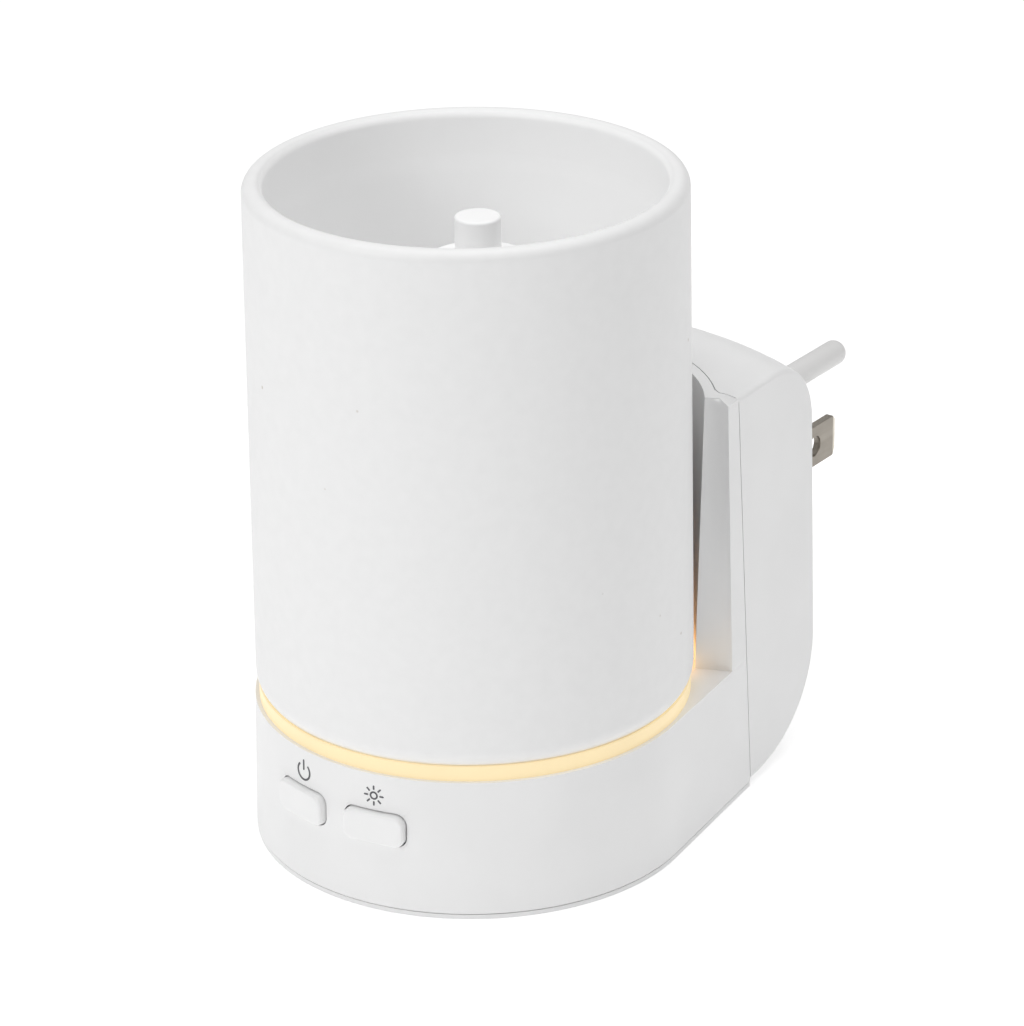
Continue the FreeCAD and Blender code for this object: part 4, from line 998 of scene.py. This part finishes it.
class WARMER_OT_lights(bpy.types.Operator):
    """Makes the small lamps under the ring"""
    bl_idname = "warmer.lights"
    bl_label = "Lamps"

    def execute(self, context):
        warm = (1.0, 0.8, 0.4)
        glow = lit("lamp_glow", warm, 2.0, warm, 2.0)
        rings = []
        for z, grow in ((0, 0), (0.55 * MM, 0), (0.8 * MM, -0.18 * MM), (0.9 * MM, -0.4 * MM)):
            loop = rounded_box(LAMP_HALF_X + grow, LAMP_HALF_Y + grow, 0.2 * MM, steps=3)
            rings.append([Vector((x, y, z)) for x, y in loop])
        piece = repeated("lamps", around_tree(), skin("lamp", rings), Count=LAMPS, Radius=LAMP_CIRCLE,
                         Height=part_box("leds")[0].z, Material=glow)
        finished(piece, "housing", "led_yellow", glow, "leds")
        return {"FINISHED"}


class WARMER_OT_inner(bpy.types.Operator):
    """Gives the pieces inside their materials"""
    bl_idname = "warmer.inner"
    bl_label = "Inner pieces"

    def execute(self, context):
        plate = metal("plate_metal", (0.60, 0.60, 0.61), 0.34)
        steel = metal("spring_steel", (0.45, 0.46, 0.48), 0.3, (0.1, 1, 1))
        black = moulded("black_plastic", (0.03, 0.03, 0.032), 0.5, spread=0.2)
        board = moulded("board_green", (0.02, 0.16, 0.07), 0.35, spread=0.25)
        lead = moulded("lead_red", (0.45, 0.05, 0.04), 0.5, spread=0.1)
        given = {
            "heater_plate": plate,
            "pressure_spring": steel,
            "thermal_fuse": metal("fuse_metal", (0.7, 0.68, 0.6), 0.3),
            "heating_stone": moulded("heater_ceramic", (0.75, 0.72, 0.66), 0.7, spread=0.08),
            "mica_disc": moulded("mica", (0.42, 0.33, 0.2), 0.3, grain=400, depth=0.2, spread=0.25),
            "heater_carrier": black,
            "power_switch": black,
            "light_switch": black,
            "driver_chip": black,
            "power_switch_stem": black,
            "light_switch_stem": black,
            "led_board": board,
            "control_board": board,
            "power_board": board,
            "heater_lead": lead,
            "control_lead": lead,
            "transformer": moulded("winding_tape", (0.5, 0.36, 0.06), 0.4, grain=500, depth=0.1, spread=0.15),
            "capacitors": moulded("capacitor_sleeve", (0.05, 0.06, 0.16), 0.3, spread=0.15),
        }
        for node, material in given.items():
            dress(node, material)
        return {"FINISHED"}


class WARMER_OT_stage(bpy.types.Operator):
    """Sets the floor, the soft light and the camera"""
    bl_idname = "warmer.stage"
    bl_label = "Stage"

    def execute(self, context):
        scene = context.scene
        scene.view_settings.view_transform = "Standard"
        scene.view_settings.look = "None"
        lay_floor()
        light_studio(scene)
        place_camera(scene)
        return {"FINISHED"}


def lay_floor():
    """A plain pale floor, faintly lit."""
    half = FLOOR_HALF
    corners = [(-half, -half, 0), (half, -half, 0), (half, half, 0), (-half, half, 0)]
    mesh = bpy.data.meshes.new("floor")
    mesh.from_pydata(corners, [], [(0, 1, 2, 3)])
    paper, tree, shader = new_material("floor_paper", (0.85, 0.85, 0.85), 0.9)
    shining(tree, shader, (1, 1, 1, 1), FLOOR_LIGHT)
    mesh.materials.append(paper)
    new_piece("floor", mesh)


def light_studio(scene):
    """An even white surround and two soft lights."""
    world = bpy.data.worlds.new("studio")
    world.use_nodes = True
    surround = world.node_tree.nodes["Background"]
    surround.inputs["Color"].default_value = (1, 1, 1, 1)
    surround.inputs["Strength"].default_value = WORLD_LIGHT
    scene.world = world
    for name, place, across, power in STUDIO_LIGHTS:
        light = bpy.data.lights.new(name, "AREA")
        light.size = across
        light.energy = power
        lamp = bpy.data.objects.new(name, light)
        lamp.location = place
        lamp.rotation_euler = (LIGHT_AIM - Vector(place)).to_track_quat("-Z", "Y").to_euler()
        scene.collection.objects.link(lamp)


def place_camera(scene):
    """The camera, from its turn, tilt, roll and place."""
    turn = Matrix.Rotation(CAMERA_TURN, 3, "Z")
    right = Vector((1, 0, 0))
    up = Vector((0, math.sin(CAMERA_PITCH), math.cos(CAMERA_PITCH)))
    forward = Vector((0, math.cos(CAMERA_PITCH), -math.sin(CAMERA_PITCH)))
    across = right * math.cos(CAMERA_ROLL) + up * math.sin(CAMERA_ROLL)
    upright = up * math.cos(CAMERA_ROLL) - right * math.sin(CAMERA_ROLL)
    axes = Matrix((across, upright, -forward)).transposed()
    camera = bpy.data.objects.new("camera", bpy.data.cameras.new("camera"))
    camera.matrix_world = Matrix.Translation(turn @ CAMERA_EYE) @ (turn @ axes).to_4x4()
    camera.data.sensor_fit = "VERTICAL"
    camera.data.sensor_height = SENSOR
    camera.data.lens = FOCAL_PIXELS / FRAME_PIXELS * SENSOR
    scene.collection.objects.link(camera)
    scene.camera = camera


class WARMER_PT_pieces(bpy.types.Panel):
    """Lists the warmer's pieces, sizes and colours"""
    bl_label = "Wax melt warmer"
    bl_space_type = "VIEW_3D"
    bl_region_type = "UI"
    bl_category = "Warmer"

    def draw(self, context):
        for group in (context.scene.warmer_sizes, context.scene.warmer_finish):
            for name in group.__annotations__:
                self.layout.prop(group, name)
        for piece in PIECES:
            self.layout.operator(piece.bl_idname)


PIECES = (WARMER_OT_cup, WARMER_OT_ring, WARMER_OT_front_body, WARMER_OT_rear_shell,
          WARMER_OT_bottom_cover, WARMER_OT_buttons, WARMER_OT_signs, WARMER_OT_plug, WARMER_OT_screws,
          WARMER_OT_lights, WARMER_OT_inner, WARMER_OT_stage)
CLASSES = (WarmerSizes, WarmerFinish, *PIECES, WARMER_PT_pieces)


def register():
    for item in CLASSES:
        bpy.utils.register_class(item)
    bpy.types.Scene.warmer_sizes = bpy.props.PointerProperty(type=WarmerSizes)
    bpy.types.Scene.warmer_finish = bpy.props.PointerProperty(type=WarmerFinish)


def unregister():
    del bpy.types.Scene.warmer_finish
    del bpy.types.Scene.warmer_sizes
    for item in reversed(CLASSES):
        bpy.utils.unregister_class(item)


def main():
    register()
    for piece in PIECES:
        space, name = piece.bl_idname.split(".")
        getattr(getattr(bpy.ops, space), name)()


if __name__ == "__main__":
    main()
